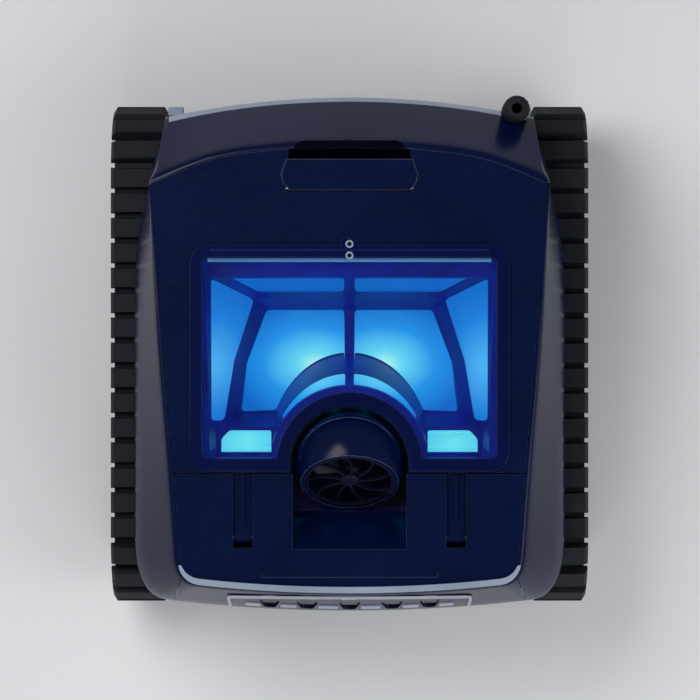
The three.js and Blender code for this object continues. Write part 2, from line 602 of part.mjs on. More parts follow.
for (const [side, label] of SIDES) {
  const beltEdge = TRACK.outer - LUG.taper;
  const [x0, x1] = side > 0 ? [TRACK.inner, beltEdge] : [-beltEdge, -TRACK.inner];
  const belt = slab(trackLine(TRACK.beltOut), x0, x1).subtract(slab(trackLine(TRACK.beltIn), x0 - 1, x1 + 1));
  const lugs = Array.from({ length: LUG.count }, (_, i) => lug(side, (i + LUG.phase) / LUG.count));
  piece(`track_belt_${label}`, union([belt, ...lugs]), RUBBER);

  const middle = (side * (WHEEL.inner + WHEEL.outer)) / 2;
  const driveShaft = barX(side * -49, side * -14, 0, 0, WHEEL.axle, 24);
  const sprocket = piece(`drive_sprocket_${label}`, wheel(WHEEL.radius, true).add(driveShaft), MATTE);
  sprocket.position.set(middle, -TRACK.wheelY, TRACK.axleZ);

  const idlerBody = wheel(WHEEL.radius, false).subtract(barX(-30, 30, 0, 0, WHEEL.bore, 16));
  const idler = piece(`idler_wheel_${label}`, idlerBody, MATTE);
  idler.position.set(middle, TRACK.wheelY, TRACK.axleZ);

  const rollerZ = TRACK.axleZ - TRACK.beltIn + REST_GAP + ROLLER.radius;
  for (const [end, place] of [[1, 'nose'], [-1, 'tail']]) {
    const tyre = barX(-19.5, 19.5, 0, 0, ROLLER.radius, 20).subtract(barX(-30, 30, 0, 0, WHEEL.bore, 16));
    const roller = piece(`road_roller_${place}_${label}`, tyre, MATTE);
    roller.position.set(middle, end * ROLLER.y, rollerZ);
  }

  const plate = slab([
    [-118, 24], [138, 22], [162, 22], [174, 40], [174, 92], [150, 104], [-118, 104],
  ], Math.min(side * 150.3, side * 153.3), Math.max(side * 150.3, side * 153.3));
  const stubs = [[TRACK.wheelY, TRACK.axleZ], [ROLLER.y, rollerZ], [-ROLLER.y, rollerZ]]
    .map(([y, z]) => barX(side * 152, side * 194, y, z, WHEEL.axle, 16));
  const brushHole = barX(side * 140, side * 160, BRUSH.y, BRUSH.z, BRUSH.journal + 0.5, 16);
  piece(`side_frame_${label}`, union([plate, ...stubs]).subtract(brushHole), MATTE);
}

// ---------------------------------------------------------------- front brush

const brushTube = barX(-BRUSH.halfLength, BRUSH.halfLength, 0, 0, BRUSH.core - REST_GAP, 20)
  .add(barX(-153, 153, 0, 0, BRUSH.journal, 16));
piece('brush_core', brushTube, MATTE).position.set(0, BRUSH.y, BRUSH.z);

const fins = Array.from({ length: BRUSH.fins }, (_, i) => {
  const fin = new THREE.BoxGeometry(2 * BRUSH.halfLength - 6, 2.4, BRUSH.tip - BRUSH.core - 1);
  return solid(fin.translate(0, 0, (BRUSH.tip + BRUSH.core + 1) / 2).rotateX((i * 2 * Math.PI) / BRUSH.fins));
});
const sleeve = barX(3 - BRUSH.halfLength, BRUSH.halfLength - 3, 0, 0, BRUSH.core + 3, 20)
  .subtract(barX(-200, 200, 0, 0, BRUSH.core, 20));
piece('brush_sleeve', union([sleeve, ...fins]), RUBBER).position.set(0, BRUSH.y, BRUSH.z);

// ---------------------------------------------------------------- cable gland

const glandBody = solid(new THREE.LatheGeometry([
  [0, GLAND.bottom], [GLAND.radius, GLAND.bottom], [GLAND.radius, GLAND.top - 12],
  [GLAND.radius - 1, GLAND.top - 10], [GLAND.radius - 1, GLAND.top - 3], [GLAND.radius - 3.5, GLAND.top],
  [0, GLAND.top],
].map(point), 20).rotateX(Math.PI / 2).translate(GLAND.x, GLAND.y, 0));
piece('cable_gland', glandBody.subtract(barZ(GLAND.x, GLAND.y, GLAND.top - 30, 230, 4, 20)), RUBBER);

export default cleaner;
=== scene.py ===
"""Looks of the tracked pool cleaner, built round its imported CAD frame.

Shapes are drawn in millimetres, in the frame's own axes: +Z up, +Y towards the nose, +X to the
right-hand track.  The hood is one lofted envelope that is hollowed and parted into its panels, and
the filter canister is a second loft with its panels cut through.
"""

from math import asin, cos, degrees, pi, radians, sin, sqrt

import bmesh
import bpy
import numpy as np
from mathutils import Matrix, Vector


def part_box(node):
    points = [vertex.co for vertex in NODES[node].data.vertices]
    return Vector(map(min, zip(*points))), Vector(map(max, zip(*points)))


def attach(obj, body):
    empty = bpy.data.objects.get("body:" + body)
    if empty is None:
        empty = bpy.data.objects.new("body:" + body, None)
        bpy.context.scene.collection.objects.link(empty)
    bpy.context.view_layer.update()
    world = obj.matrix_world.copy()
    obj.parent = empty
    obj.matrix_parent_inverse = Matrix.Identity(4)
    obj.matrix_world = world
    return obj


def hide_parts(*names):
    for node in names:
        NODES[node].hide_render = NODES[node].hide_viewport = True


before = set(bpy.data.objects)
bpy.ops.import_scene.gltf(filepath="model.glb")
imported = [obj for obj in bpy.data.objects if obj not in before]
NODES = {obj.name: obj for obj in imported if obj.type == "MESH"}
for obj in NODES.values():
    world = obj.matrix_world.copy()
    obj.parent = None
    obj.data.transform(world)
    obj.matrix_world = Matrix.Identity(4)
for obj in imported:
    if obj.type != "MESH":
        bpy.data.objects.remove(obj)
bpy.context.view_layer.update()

MM = 0.001
SIDES = (("right", 1), ("left", -1))


def centre_mm(node):
    """Middle of a CAD node's box, in millimetres."""
    low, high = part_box(node)
    return (low + high) / 2 / MM


def box_mm(node):
    """Lowest and highest corner of a CAD node, in millimetres."""
    low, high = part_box(node)
    return low / MM, high / MM


# ------------------------------------------------------------------ driving dimensions, from the frame

WALL = 3.0
GAP = 0.4
DECK_TOP = box_mm("lid")[1].z
DECK_RIM = 3.5
LID_TAIL = box_mm("lid")[0].y
HALF_LENGTH = box_mm("nose_hood")[1].y
SKIRT_BOTTOM = box_mm("flank_right")[0].z
NOSE_SPLIT = 139.5
BALL_CENTRE = Vector((0, -91, 196.5))
BALL_RADIUS = box_mm("outlet_ball")[1].x
JET_TILT = radians(54.3)
JET = Matrix.Translation(BALL_CENTRE * MM) @ Matrix.Rotation(JET_TILT, 4, "X")
HINGE = centre_mm("hinge_pin_right")
CAN_RIM = 194.0
CAN_FLOOR = box_mm("canister_frame")[0].z
CAN_ARCH = -85.0
AXLE = centre_mm("idler_wheel_right")
TRACK_IN = box_mm("track_belt_right")[0].x
TRACK_OUT = box_mm("track_belt_right")[1].x

# ------------------------------------------------------------------ solids


def mesh_object(name, verts, faces):
    mesh = bpy.data.meshes.new(name)
    mesh.from_pydata([(x * MM, y * MM, z * MM) for x, y, z in verts], [], faces)
    mesh.update()
    obj = bpy.data.objects.new(name, mesh)
    bpy.context.scene.collection.objects.link(obj)
    return obj


def counter_clockwise(outline):
    area = sum(a[0] * b[1] - b[0] * a[1] for a, b in zip(outline, outline[1:] + outline[:1]))
    return list(outline) if area > 0 else list(reversed(outline))


def loft(rings, name="solid"):
    """Closed solid through (outline, z) rings with the same number of points."""
    count = len(rings[0][0])
    verts = [(x, y, z) for outline, z in rings for x, y in outline]
    faces = [tuple(reversed(range(count)))]
    for start in range(0, (len(rings) - 1) * count, count):
        for i in range(count):
            a, b = start + i, start + (i + 1) % count
            faces.append((a, b, b + count, a + count))
    last = (len(rings) - 1) * count
    faces.append(tuple(range(last, last + count)))
    return mesh_object(name, verts, faces)


def tube(name, rings):
    """Closed solid through rings of (x, y, z) points, capped at both ends."""
    count = len(rings[0])
    last = (len(rings) - 1) * count
    verts = [point for ring in rings for point in ring]
    faces = [tuple(range(count)), tuple(reversed(range(last, last + count)))]
    for start in range(0, last, count):
        for k in range(count):
            a, b = start + k, start + (k + 1) % count
            faces.append((a, a + count, b + count, b))
    obj = mesh_object(name, verts, faces)
    recalculate(obj)
    return obj


def prism(outline, z0, z1, name="solid"):
    outline = counter_clockwise(outline)
    return loft([(outline, z0), (outline, z1)], name)


def slab(outline, x0, x1, name="solid"):
    """Side-view outline (y, z) run across from x0 to x1."""
    obj = prism(outline, min(x0, x1), max(x0, x1), name)
    obj.data.transform(Matrix(((0, 0, 1, 0), (1, 0, 0, 0), (0, 1, 0, 0), (0, 0, 0, 1))))
    return obj


def box(x0, x1, y0, y1, z0, z1, name="solid"):
    return prism([(x0, y0), (x1, y0), (x1, y1), (x0, y1)], z0, z1, name)


def circle(radius, steps=64, x=0.0, y=0.0):
    angles = [2 * pi * i / steps for i in range(steps)]
    return [(x + radius * cos(a), y + radius * sin(a)) for a in angles]


def lathe(profile, steps=64, name="solid"):
    """Solid of revolution about Z from a (radius, z) profile that ends on the axis or closes on itself."""
    verts, faces = [], []
    closed = profile[0][0] > 0
    rows = []
    for radius, z in profile:
        start = len(verts)
        if radius == 0:
            verts.append((0, 0, z))
            rows.append([start] * steps)
        else:
            verts += [(x, y, z) for x, y in circle(radius, steps)]
            rows.append(list(range(start, start + steps)))
    pairs = list(zip(rows, rows[1:]))
    if closed:
        pairs.append((rows[-1], rows[0]))
    for low, high in pairs:
        for i in range(steps):
            j = (i + 1) % steps
            corners = [low[i], low[j], high[j], high[i]]
            corners = [c for k, c in enumerate(corners) if c != corners[k - 1]]
            faces.append(tuple(corners))
    obj = mesh_object(name, verts, faces)
    recalculate(obj)
    return obj


def recalculate(obj):
    work = bmesh.new()
    work.from_mesh(obj.data)
    bmesh.ops.recalc_face_normals(work, faces=work.faces)
    work.to_mesh(obj.data)
    work.free()


def turned(obj, matrix):
    obj.data.transform(matrix)
    return obj


def along_x(obj, x, y, z):
    """Turns a piece made about Z so that it runs along X, and sets it in place."""
    place = Matrix.Translation(Vector((x, y, z)) * MM) @ Matrix.Rotation(pi / 2, 4, "Y")
    return turned(obj, place)


def bake(obj):
    """Applies the piece's modifiers to its mesh."""
    graph = bpy.context.evaluated_depsgraph_get()
    mesh = bpy.data.meshes.new_from_object(obj.evaluated_get(graph), depsgraph=graph)
    old = obj.data
    obj.modifiers.clear()
    obj.data = mesh
    bpy.data.meshes.remove(old)
    return obj


def discard(obj):
    mesh = obj.data
    bpy.data.objects.remove(obj)
    bpy.data.meshes.remove(mesh)


def combine(base, operation, *tools):
    """Joins or cuts base with each tool, which is used up."""
    for tool in tools:
        modifier = base.modifiers.new("combine", "BOOLEAN")
        modifier.operation = operation
        modifier.solver = "MANIFOLD"
        modifier.object = tool
        bake(base)
        discard(tool)
    return base


def add(base, *tools):
    return combine(base, "UNION", *tools)


def cut(base, *tools):
    return combine(base, "DIFFERENCE", *tools)


def keep(base, *tools):
    return combine(base, "INTERSECT", *tools)


def duplicate(obj):
    twin = bpy.data.objects.new(obj.name, obj.data.copy())
    bpy.context.scene.collection.objects.link(twin)
    return twin


def joined(name, objects):
    """Several meshes as one object, without joining their surfaces."""
    verts, faces = [], []
    for obj in objects:
        start = len(verts)
        verts += [tuple(v.co / MM) for v in obj.data.vertices]
        faces += [tuple(start + i for i in p.vertices) for p in obj.data.polygons]
        discard(obj)
    return mesh_object(name, verts, faces)


# ------------------------------------------------------------------ outlines


def spaced(points, steps):
    """Points at even spacing along a dense run of points."""
    points = np.array(points)
    length = np.concatenate([[0], np.cumsum(np.hypot(*np.diff(points, axis=0).T))])
    places = np.linspace(0, length[-1], steps + 1)
    return list(zip(np.interp(places, length, points[:, 0]), np.interp(places, length, points[:, 1])))


def spline(points, steps):
    """Smooth curve through points."""
    dense = []
    for i in range(len(points) - 1):
        p0, p1, p2, p3 = (np.array(points[min(max(i + k, 0), len(points) - 1)]) for k in (-1, 0, 1, 2))
        for t in np.linspace(0, 1, 40, endpoint=False):
            dense.append(0.5 * (2 * p1 + (p2 - p0) * t + (2 * p0 - 5 * p1 + 4 * p2 - p3) * t**2
                                + (3 * p1 - p0 - 3 * p2 + p3) * t**3))
    return spaced([*dense, points[-1]], steps)


def bend(start, control, end, steps):
    """Quadratic curve from start to end, pulled to control."""
    a, c, b = (np.array(p, float) for p in (start, control, end))
    return spaced([a * (1 - t) ** 2 + 2 * c * t * (1 - t) + b * t**2 for t in np.linspace(0, 1, 60)], steps)


def mirrored(spans):
    """Right half from tail to nose, completed by its mirror image."""
    half = [p for i, span in enumerate(spans) for p in (span if i == 0 else span[1:])]
    return [*half, *[(-x, y) for x, y in reversed(half[1:-1])]]


def inset(outline, distance):
    """Counter-clockwise outline moved inwards, or outwards when distance is negative."""
    moved = []
    for i, (x, y) in enumerate(outline):
        before, after = outline[i - 1], outline[(i + 1) % len(outline)]
        into = Vector((x - before[0], y - before[1])).normalized()
        out = Vector((after[0] - x, after[1] - y)).normalized()
        normal = Vector((-into.y - out.y, into.x + out.x)).normalized()
        reach = distance / max(0.4, normal.y * into.x - normal.x * into.y)
        moved.append((x + normal.x * reach, y + normal.y * reach))
    return moved


def arc(y, a, b, start, end, steps):
    """Part of an ellipse round (0, y), angles in degrees from +X."""
    angles = [radians(start + (end - start) * i / steps) for i in range(steps + 1)]
    return [(a * cos(t), y + b * sin(t)) for t in angles]


def rounded(outline, radius, steps=6):
    """Outline with each sharp corner turned by a curve."""
    result = []
    outline = counter_clockwise(outline)
    for i, corner in enumerate(outline):
        here = Vector(corner)
        before, after = Vector(outline[i - 1]) - here, Vector(outline[(i + 1) % len(outline)]) - here
        if before.angle(after) > radians(160):
            result.append(corner)
            continue
        reach = min(radius, before.length * 0.45, after.length * 0.45)
        start, end = here + before.normalized() * reach, here + after.normalized() * reach
        for k in range(steps + 1):
            t = k / steps
            result.append(tuple(start * (1 - t) ** 2 + here * 2 * t * (1 - t) + end * t**2))
    return result


def rectangle(x0, x1, y0, y1):
    return [(x0, y0), (x1, y0), (x1, y1), (x0, y1)]


def sided(side, outline):
    return counter_clockwise([(side * x, y) for x, y in outline])


# ------------------------------------------------------------------ finishes


class Finish:
    """A procedural material: uniform values go on the shader, textures on colour, roughness and bump."""

    def __init__(self, name, **uniform):
        self.material = bpy.data.materials.new(name)
        self.material.use_nodes = True
        self.tree = self.material.node_tree
        self.shader = self.tree.nodes["Principled BSDF"]
        for socket, value in uniform.items():
            self.shader.inputs[socket.replace("_", " ")].default_value = value
        self.place = self.node("ShaderNodeTexCoord").outputs["Object"]

    def node(self, kind, inputs=None, **settings):
        node = self.tree.nodes.new(kind)
        for key, value in settings.items():
            setattr(node, key, value)
        for key, value in (inputs or {}).items():
            if isinstance(value, bpy.types.NodeSocket):
                self.tree.links.new(value, node.inputs[key])
            else:
                node.inputs[key].default_value = value
        return node

    def noise(self, scale, detail=3.0, stretch=None, rough=0.55):
        place = self.place
        if stretch:
            place = self.node("ShaderNodeMapping", {"Vector": place, "Scale": stretch}).outputs[0]
        inputs = {"Vector": place, "Scale": scale, "Detail": detail, "Roughness": rough}
        return self.node("ShaderNodeTexNoise", inputs).outputs["Fac"]

    def ramp(self, fac, stops):
        node = self.node("ShaderNodeValToRGB", {"Fac": fac})
        elements = node.color_ramp.elements
        while len(elements) < len(stops):
            elements.new(0.5)
        for element, (position, colour) in zip(elements, stops):
            element.position = position
            element.color = (*colour, 1) if isinstance(colour, tuple) else (colour, colour, colour, 1)
        return node.outputs["Color"]

    def link(self, socket, output):
        self.tree.links.new(output, self.shader.inputs[socket])

    def bump(self, height, strength, distance, normal=None):
        inputs = {"Height": height, "Strength": strength, "Distance": distance}
        if normal is not None:
            inputs["Normal"] = normal
        return self.node("ShaderNodeBump", inputs).outputs["Normal"]

    def math(self, operation, first, second=0.5):
        return self.node("ShaderNodeMath", {0: first, 1: second}, operation=operation).outputs[0]


def moulded(name, dark, light, rough, grain=0.0, specular=0.5, ior=1.5):
    """Moulded plastic: slow colour and gloss drift, handling marks, and an optional spark texture."""
    finish = Finish(name, Specular_IOR_Level=specular, IOR=ior)
    drift = finish.noise(14, 4)
    finish.link("Base Color", finish.ramp(drift, [(0.3, dark), (0.75, light)]))
    marks = finish.noise(60, 6, stretch=(1, 6, 3), rough=0.7)
    finish.link("Roughness", finish.ramp(marks, [(0.3, rough[0]), (0.7, rough[1])]))
    waves = finish.bump(finish.noise(22, 1), 0.06, 0.0006)
    if grain:
        waves = finish.bump(finish.noise(1400, 2), grain, 0.0004, waves)
    finish.link("Normal", waves)
    return finish.material


def rubber(name, dark, light, dust=0.12):
    """Vulcanised rubber: mottled, dull, with a fine pebble and paler dust on its high spots."""
    finish = Finish(name, Specular_IOR_Level=0.3)
    mottle = finish.noise(45, 6, rough=0.65)
    pebble = finish.noise(1600, 2)
    dusty = tuple(c + dust * 0.1 for c in light)
    finish.link("Base Color", finish.ramp(mottle, [(0.35, dark), (0.6, light), (0.9, dusty)]))
    finish.link("Roughness", finish.ramp(mottle, [(0.2, 0.62), (0.8, 0.85)]))
    finish.link("Normal", finish.bump(pebble, 0.35, 0.0003, finish.bump(finish.noise(160, 3), 0.2, 0.0005)))
    return finish.material


def brushed(name, colour, glow=0.0):
    """Stainless steel with drawn lines along X; a tint in its colour and a glow paint in the light of a lamp shining
    on it.
    """
    finish = Finish(name, Metallic=1.0, Anisotropic=0.4, Emission_Strength=glow, Emission_Color=(*colour, 1))
    lines = finish.noise(700, 4, stretch=(0.02, 1, 1))
    finish.link("Base Color", finish.ramp(lines, [(0.3, tuple(c * 0.8 for c in colour)), (0.7, colour)]))
    finish.link("Roughness", finish.ramp(lines, [(0.3, 0.2), (0.7, 0.36)]))
    finish.link("Normal", finish.bump(lines, 0.15, 0.0001))
    return finish.material


def woven_light(name, stops, glow, spread, weave=0.0011):
    """Back-lit filter mesh: fine square weave, glowing from a hot spot on each side of the middle."""
    finish = Finish(name, Roughness=0.45, Specular_IOR_Level=0.35)
    parts = finish.node("ShaderNodeSeparateXYZ", {"Vector": finish.place}).outputs
    across = finish.math("SUBTRACT", finish.math("ABSOLUTE", parts["X"]), spread["x"])
    across = finish.math("MULTIPLY", across, 1 / spread["width"])
    ahead = finish.math("MULTIPLY", finish.math("SUBTRACT", parts["Y"], spread["y"]), 1 / spread["length"])
    reach = finish.math("ADD", finish.math("MULTIPLY", across, across), finish.math("MULTIPLY", ahead, ahead))
    reach = finish.math("ADD", finish.math("SQRT", reach), finish.math("MULTIPLY", finish.noise(18, 2), 0.12))
    colour = finish.ramp(reach, stops)

    def threads(axis):
        wave = finish.math("SINE", finish.math("MULTIPLY", parts[axis], 2 * pi / weave))
        return finish.math("MULTIPLY", wave, wave)

    grid = finish.math("MAXIMUM", threads("X"), threads("Y"))
    shade = finish.ramp(grid, [(0.0, 0.72), (0.6, 1.0)])
    lit = finish.node("ShaderNodeMix", {"Factor": 1.0, 6: colour, 7: shade}, data_type="RGBA", blend_type="MULTIPLY")
    dull = finish.node("ShaderNodeMix", {"Factor": 0.7, 6: lit.outputs[2], 7: (0, 0, 0, 1)}, data_type="RGBA")
    finish.link("Base Color", dull.outputs[2])
    finish.link("Emission Color", lit.outputs[2])
    finish.shader.inputs["Emission Strength"].default_value = glow
    finish.link("Normal", finish.bump(grid, 0.5, 0.0003))
    return finish.material


def translucent_blue(name, deep, clear, glow):
    """Clear royal-blue moulding lit from inside, deeper where it drifts thick."""
    finish = Finish(name, Roughness=0.36, Specular_IOR_Level=0.2, Emission_Strength=glow)
    colour = finish.ramp(finish.noise(26, 3), [(0.3, deep), (0.7, clear)])
    finish.link("Base Color", colour)
    finish.link("Emission Color", colour)
    finish.link("Normal", finish.bump(finish.noise(30, 1), 0.08, 0.0005))
    return finish.material


def smoked(name):
    """Smoked clear window with faint handling smears in its gloss."""
    finish = Finish(name, Transmission_Weight=1.0, IOR=1.3, Specular_IOR_Level=0.4)
    smear = finish.noise(40, 5, stretch=(1, 3, 1))
    finish.link("Base Color", finish.ramp(smear, [(0.2, (0.86, 0.93, 1.0)), (0.8, (0.9, 0.96, 1.0))]))
    finish.link("Roughness", finish.ramp(smear, [(0.35, 0.0), (0.75, 0.035)]))
    return finish.material


SHELL = moulded("shell_navy", (0.0010, 0.0042, 0.028), (0.0018, 0.0068, 0.043), (0.17, 0.28), ior=1.27)
# paler colour for the shell's bevel faces: a painted highlight along its edges
EDGE_HIGHLIGHT = moulded("shell_edge_highlight", (0.20, 0.25, 0.38), (0.30, 0.36, 0.50), (0.25, 0.38))
BODY = moulded("body_black", (0.008, 0.010, 0.016), (0.013, 0.016, 0.024), (0.42, 0.6), grain=0.3)
WHEEL = moulded("wheel_black", (0.010, 0.012, 0.018), (0.018, 0.021, 0.030), (0.35, 0.5), grain=0.2)
# pale grey: the colour of real trims, and also a painted highlight on the nose and tail strips and on the outlet
# ball's bevelled rims
TRIM_AND_HIGHLIGHT = moulded("trim_grey", (0.24, 0.29, 0.38), (0.34, 0.39, 0.49), (0.28, 0.4), grain=0.1)
BEZEL = moulded("bezel_blue", (0.0008, 0.003, 0.036), (0.0012, 0.005, 0.055), (0.14, 0.24), ior=1.3)
# lighter blue for the bezel's bevel faces: a painted highlight along its edges
BEZEL_HIGHLIGHT = moulded("bezel_edge_highlight", (0.008, 0.022, 0.13), (0.014, 0.035, 0.19), (0.2, 0.3), ior=1.3)
TRACK = rubber("track_rubber", (0.004, 0.005, 0.009), (0.009, 0.011, 0.017))
# paler rubber for the bevel faces of the tread and the cable gland: a painted highlight along their edges, with
# random dust mottling in it
TRACK_HIGHLIGHT = rubber("track_edge_highlight", (0.03, 0.036, 0.055), (0.06, 0.07, 0.10), dust=0.3)
# paler colour for the wheels' bevel faces: a painted highlight along their edges
WHEEL_HIGHLIGHT = moulded("wheel_edge_highlight", (0.04, 0.045, 0.06), (0.07, 0.08, 0.10), (0.35, 0.5))
FIN = rubber("brush_rubber", (0.01, 0.035, 0.14), (0.016, 0.05, 0.19))
SEAL = rubber("seal_rubber", (0.006, 0.007, 0.010), (0.012, 0.013, 0.017))
STEEL = brushed("drawn_steel", (0.74, 0.78, 0.84))
# blue colour and glow are painted light: the canister's blue glow falling on the rod
ROD_STEEL_GLOW = brushed("rod_steel_glow", (0.25, 0.62, 1.0), glow=0.22)
CANISTER = translucent_blue("canister_blue", (0.0004, 0.005, 0.14), (0.0006, 0.012, 0.25), 0.42)
# brighter blue with stronger emission for the bevel faces of the canister and flaps: a painted highlight and glow
# along their edges
CANISTER_EDGE_GLOW = translucent_blue("canister_edge_glow", (0.02, 0.17, 0.60), (0.035, 0.26, 0.78), 0.8)
PROPELLER = moulded("propeller_navy", (0.0015, 0.004, 0.016), (0.003, 0.007, 0.026), (0.4, 0.55), specular=0.2)
PANE = smoked("smoked_window")
FLOOR_STOPS = [
    (0.02, (0.50, 0.93, 0.70)), (0.26, (0.13, 0.64, 0.80)), (0.6, (0.012, 0.28, 0.70)), (1.0, (0.001, 0.13, 0.52)),
]
WALL_STOPS = [(0.1, (0.075, 0.42, 0.80)), (0.5, (0.010, 0.20, 0.62)), (1.0, (0.001, 0.11, 0.46))]
FLAP_STOPS = [(0.0, (0.17, 0.78, 0.82)), (1.0, (0.07, 0.58, 0.76))]
# Where each glow is centred and how far it spreads, in metres.
FLOOR_SPREAD = {"x": 0.030, "width": 0.075, "y": -0.008, "length": 0.055}
WALL_SPREAD = {"x": 0.110, "width": 0.06, "y": -0.010, "length": 0.09}
FLAP_SPREAD = {"x": 0.085, "width": 0.03, "y": -0.072, "length": 0.02}
MESH_FLOOR = woven_light("mesh_floor", FLOOR_STOPS, 1.05, FLOOR_SPREAD)
MESH_WALL = woven_light("mesh_wall", WALL_STOPS, 1.0, WALL_SPREAD)
FLAP = woven_light("flap_glow", FLAP_STOPS, 1.0, FLAP_SPREAD, weave=0.004)


def dress(obj, material, edge=None, bevel=0.5, segments=2, angle=32):
    """Smooth faces, sharp creases softened by a bevel, and a material; edge is the bevel's own, a paler painted
    highlight along the creases.
    """
    obj.data.materials.clear()
    obj.data.materials.append(material)
    if edge:
        obj.data.materials.append(edge)
    for polygon in obj.data.polygons:
        polygon.use_smooth = True
    obj.data.set_sharp_from_angle(angle=radians(angle))
    if bevel:
        modifier = obj.modifiers.new("soft_edges", "BEVEL")
        modifier.width = bevel * MM
        modifier.segments = segments
        modifier.limit_method = "ANGLE"
        modifier.angle_limit = radians(angle)
        modifier.use_clamp_overlap = True
        modifier.harden_normals = True
        modifier.material = 1 if edge else -1
    return obj


def tidy(obj, distance=0.04):
    """Merges the slivers that cuts leave."""
    work = bmesh.new()
    work.from_mesh(obj.data)
    bmesh.ops.remove_doubles(work, verts=work.verts, dist=distance * MM)
    bmesh.ops.dissolve_degenerate(work, dist=distance * MM / 4, edges=work.edges)
    work.to_mesh(obj.data)
    work.free()
    return obj


def finished(obj, name, material, edge=None, **soften):
    """Cleans, names and dresses a piece."""
    obj.name = name
    return dress(tidy(obj), material, edge, **soften)


def stand_for(obj, body, slot, *nodes):
    """Sets a finished piece on its body in place of CAD nodes."""
    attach(obj, body)
    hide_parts(*nodes)
    return obj


# ------------------------------------------------------------------ hood envelope

SKIRT = mirrored([
    bend((0, -HALF_LENGTH), (75, -HALF_LENGTH), (150, -204.6), 20),
    bend((150, -204.6), (176, -202), (179, -160), 16),
    spline([(179, -160), (179, -40), (179, 40), (176, 97), (166, 142)], 36),
    spline([(166, 142), (163, 160), (157, 175), (153, 197)], 12),
    bend((153, 197), (76, HALF_LENGTH), (0, HALF_LENGTH), 24),
])
DECK = mirrored([
    bend((0, -195.6), (63, -195.6), (122, -189), 20),
    bend((122, -189), (140, -187), (141.5, -165), 16),
    spline([(141.5, -165), (147.8, -84), (155.4, 5), (163.5, 136)], 36),
    bend((163.5, 136), (164.5, 142), (158, 144), 12),
    spline([(158, 144), (111.6, 162), (55.3, 170.2), (0, 172.5)], 24),
])
LEVELS = [
    (SKIRT_BOTTOM, 0), (141, 0), (144.5, 0.008), (147.5, 0.026), (151, 0.06), (165, 0.27), (185, 0.585),
    (201, 0.84), (205, 0.905), (207.4, 0.95), (209, 0.99), (209.8, 1.025), (DECK_TOP, 1.06),
]
INNER_DECK = inset(DECK, DECK_RIM)
GRILLE = [(-98, -230), (98, -230), (102, -197.4), (-102, -197.4)]
SCOOP = [(51, 160.5), (43.5, 172.5), (38, 174.5), (-38, 174.5), (-43.5, 172.5), (-51, 160.5)]
LATCH_AXLE = centre_mm("latch_pin")
LATCH_NOSE = 158.8
LATCH = [
    (50, LATCH_AXLE.y), (54.4, 140), (55.5, 147), (51.5, LATCH_NOSE),
    (-51.5, LATCH_NOSE), (-55.5, 147), (-54.4, 140), (-50, LATCH_AXLE.y),
]


def envelope(wall):
    """Whole hood as one solid, drawn in by a wall thickness."""
    rings = []
    for z, blend in LEVELS:
        outline = [(a + (c - a) * blend, b + (d - b) * blend) for (a, b), (c, d) in zip(SKIRT, DECK)]
        level = z
        if z == SKIRT_BOTTOM:
            level = z + wall
        if z > 203:
            level = z - wall * (z - 203) / (DECK_TOP - 203)
        rings.append((inset(outline, wall), level))
    return loft(rings, "envelope")


def hollow_shell():
    under_body = keep(prism(inset(SKIRT, WALL), 120, 132), box(-150.4, 150.4, -240, 240, 100, 140))
    return cut(envelope(0), envelope(WALL), under_body)


def deck_zone(offset):
    return prism(inset(INNER_DECK, offset), 180, 230)


def tail_zone(grow):
    near, far, front = 134 + grow, 160 + grow, -176 + grow
    return prism([(-near, front), (-far, -240), (far, -240), (near, front)], 60, 230)


def ahead_of(y):
    return box(-300, 300, y, 300, 0, 300)


def behind(y):
    return box(-300, 300, -300, y, 0, 300)


def skirt_band(near, far, z0, z1):
    """Band along the skirt between two insets."""
    return cut(prism(inset(SKIRT, near), z0, z1), prism(inset(SKIRT, far), z0 - 1, z1 + 1))


def between(side, x0, x1, y0, y1, z0, z1):
    """Box on one side of the machine, measured outwards from its middle."""
    return box(min(side * x0, side * x1), max(side * x0, side * x1), y0, y1, z0, z1)


def nose_strip_zone(near, far, edge):
    """Layer of the envelope along the nose, grown by edge."""
    low, high = box_mm("nose_strip")
    reach = box(low.x - edge, high.x + edge, 190, 240, low.z - edge, high.z + edge)
    return keep(cut(envelope(near), envelope(far)), reach)


def gland_seat():
    gland = centre_mm("cable_gland")
    return prism(circle(11.4, 48, gland.x, gland.y), 60, 230)


def make_nose_hood(shell):
    scoop = rounded(SCOOP, 7)
    cup = keep(prism(inset(scoop, -WALL), 180, 209), envelope(1))
    bumper_low = box_mm("nose_hood")[0].z
    bumper = keep(skirt_band(0, 4, bumper_low, SKIRT_BOTTOM + 2), box(-150, 150, 185, 240, 60, 140))
    nose = keep(add(duplicate(shell), cup), cut(ahead_of(NOSE_SPLIT + GAP / 2), deck_zone(-GAP / 2)))
    nose = cut(add(nose, bumper), prism(scoop, 183, 230), nose_strip_zone(-1, 2, GAP), gland_seat())
    finished(nose, "nose_hood_shell", SHELL, EDGE_HIGHLIGHT, bevel=0.8)
    stand_for(nose, "chassis", "shell_gloss", "nose_hood")
    # pale strip along the nose edge: a painted highlight for the bright rim there
    strip = cut(nose_strip_zone(0, 1.8, 0), gland_seat())
    finished(strip, "nose_highlight_strip", TRIM_AND_HIGHLIGHT, bevel=0.5)
    stand_for(strip, "chassis", "trim_grey", "nose_strip")


def make_flanks(shell):
    for label, side in SIDES:
        half = between(side, 90, 300, -300, NOSE_SPLIT - GAP / 2, 0, 300)
        flank = cut(keep(duplicate(shell), half), deck_zone(-GAP), tail_zone(GAP))
        finished(flank, f"flank_shell_{label}", SHELL, EDGE_HIGHLIGHT)
        stand_for(flank, "chassis", "shell_gloss", f"flank_{label}")


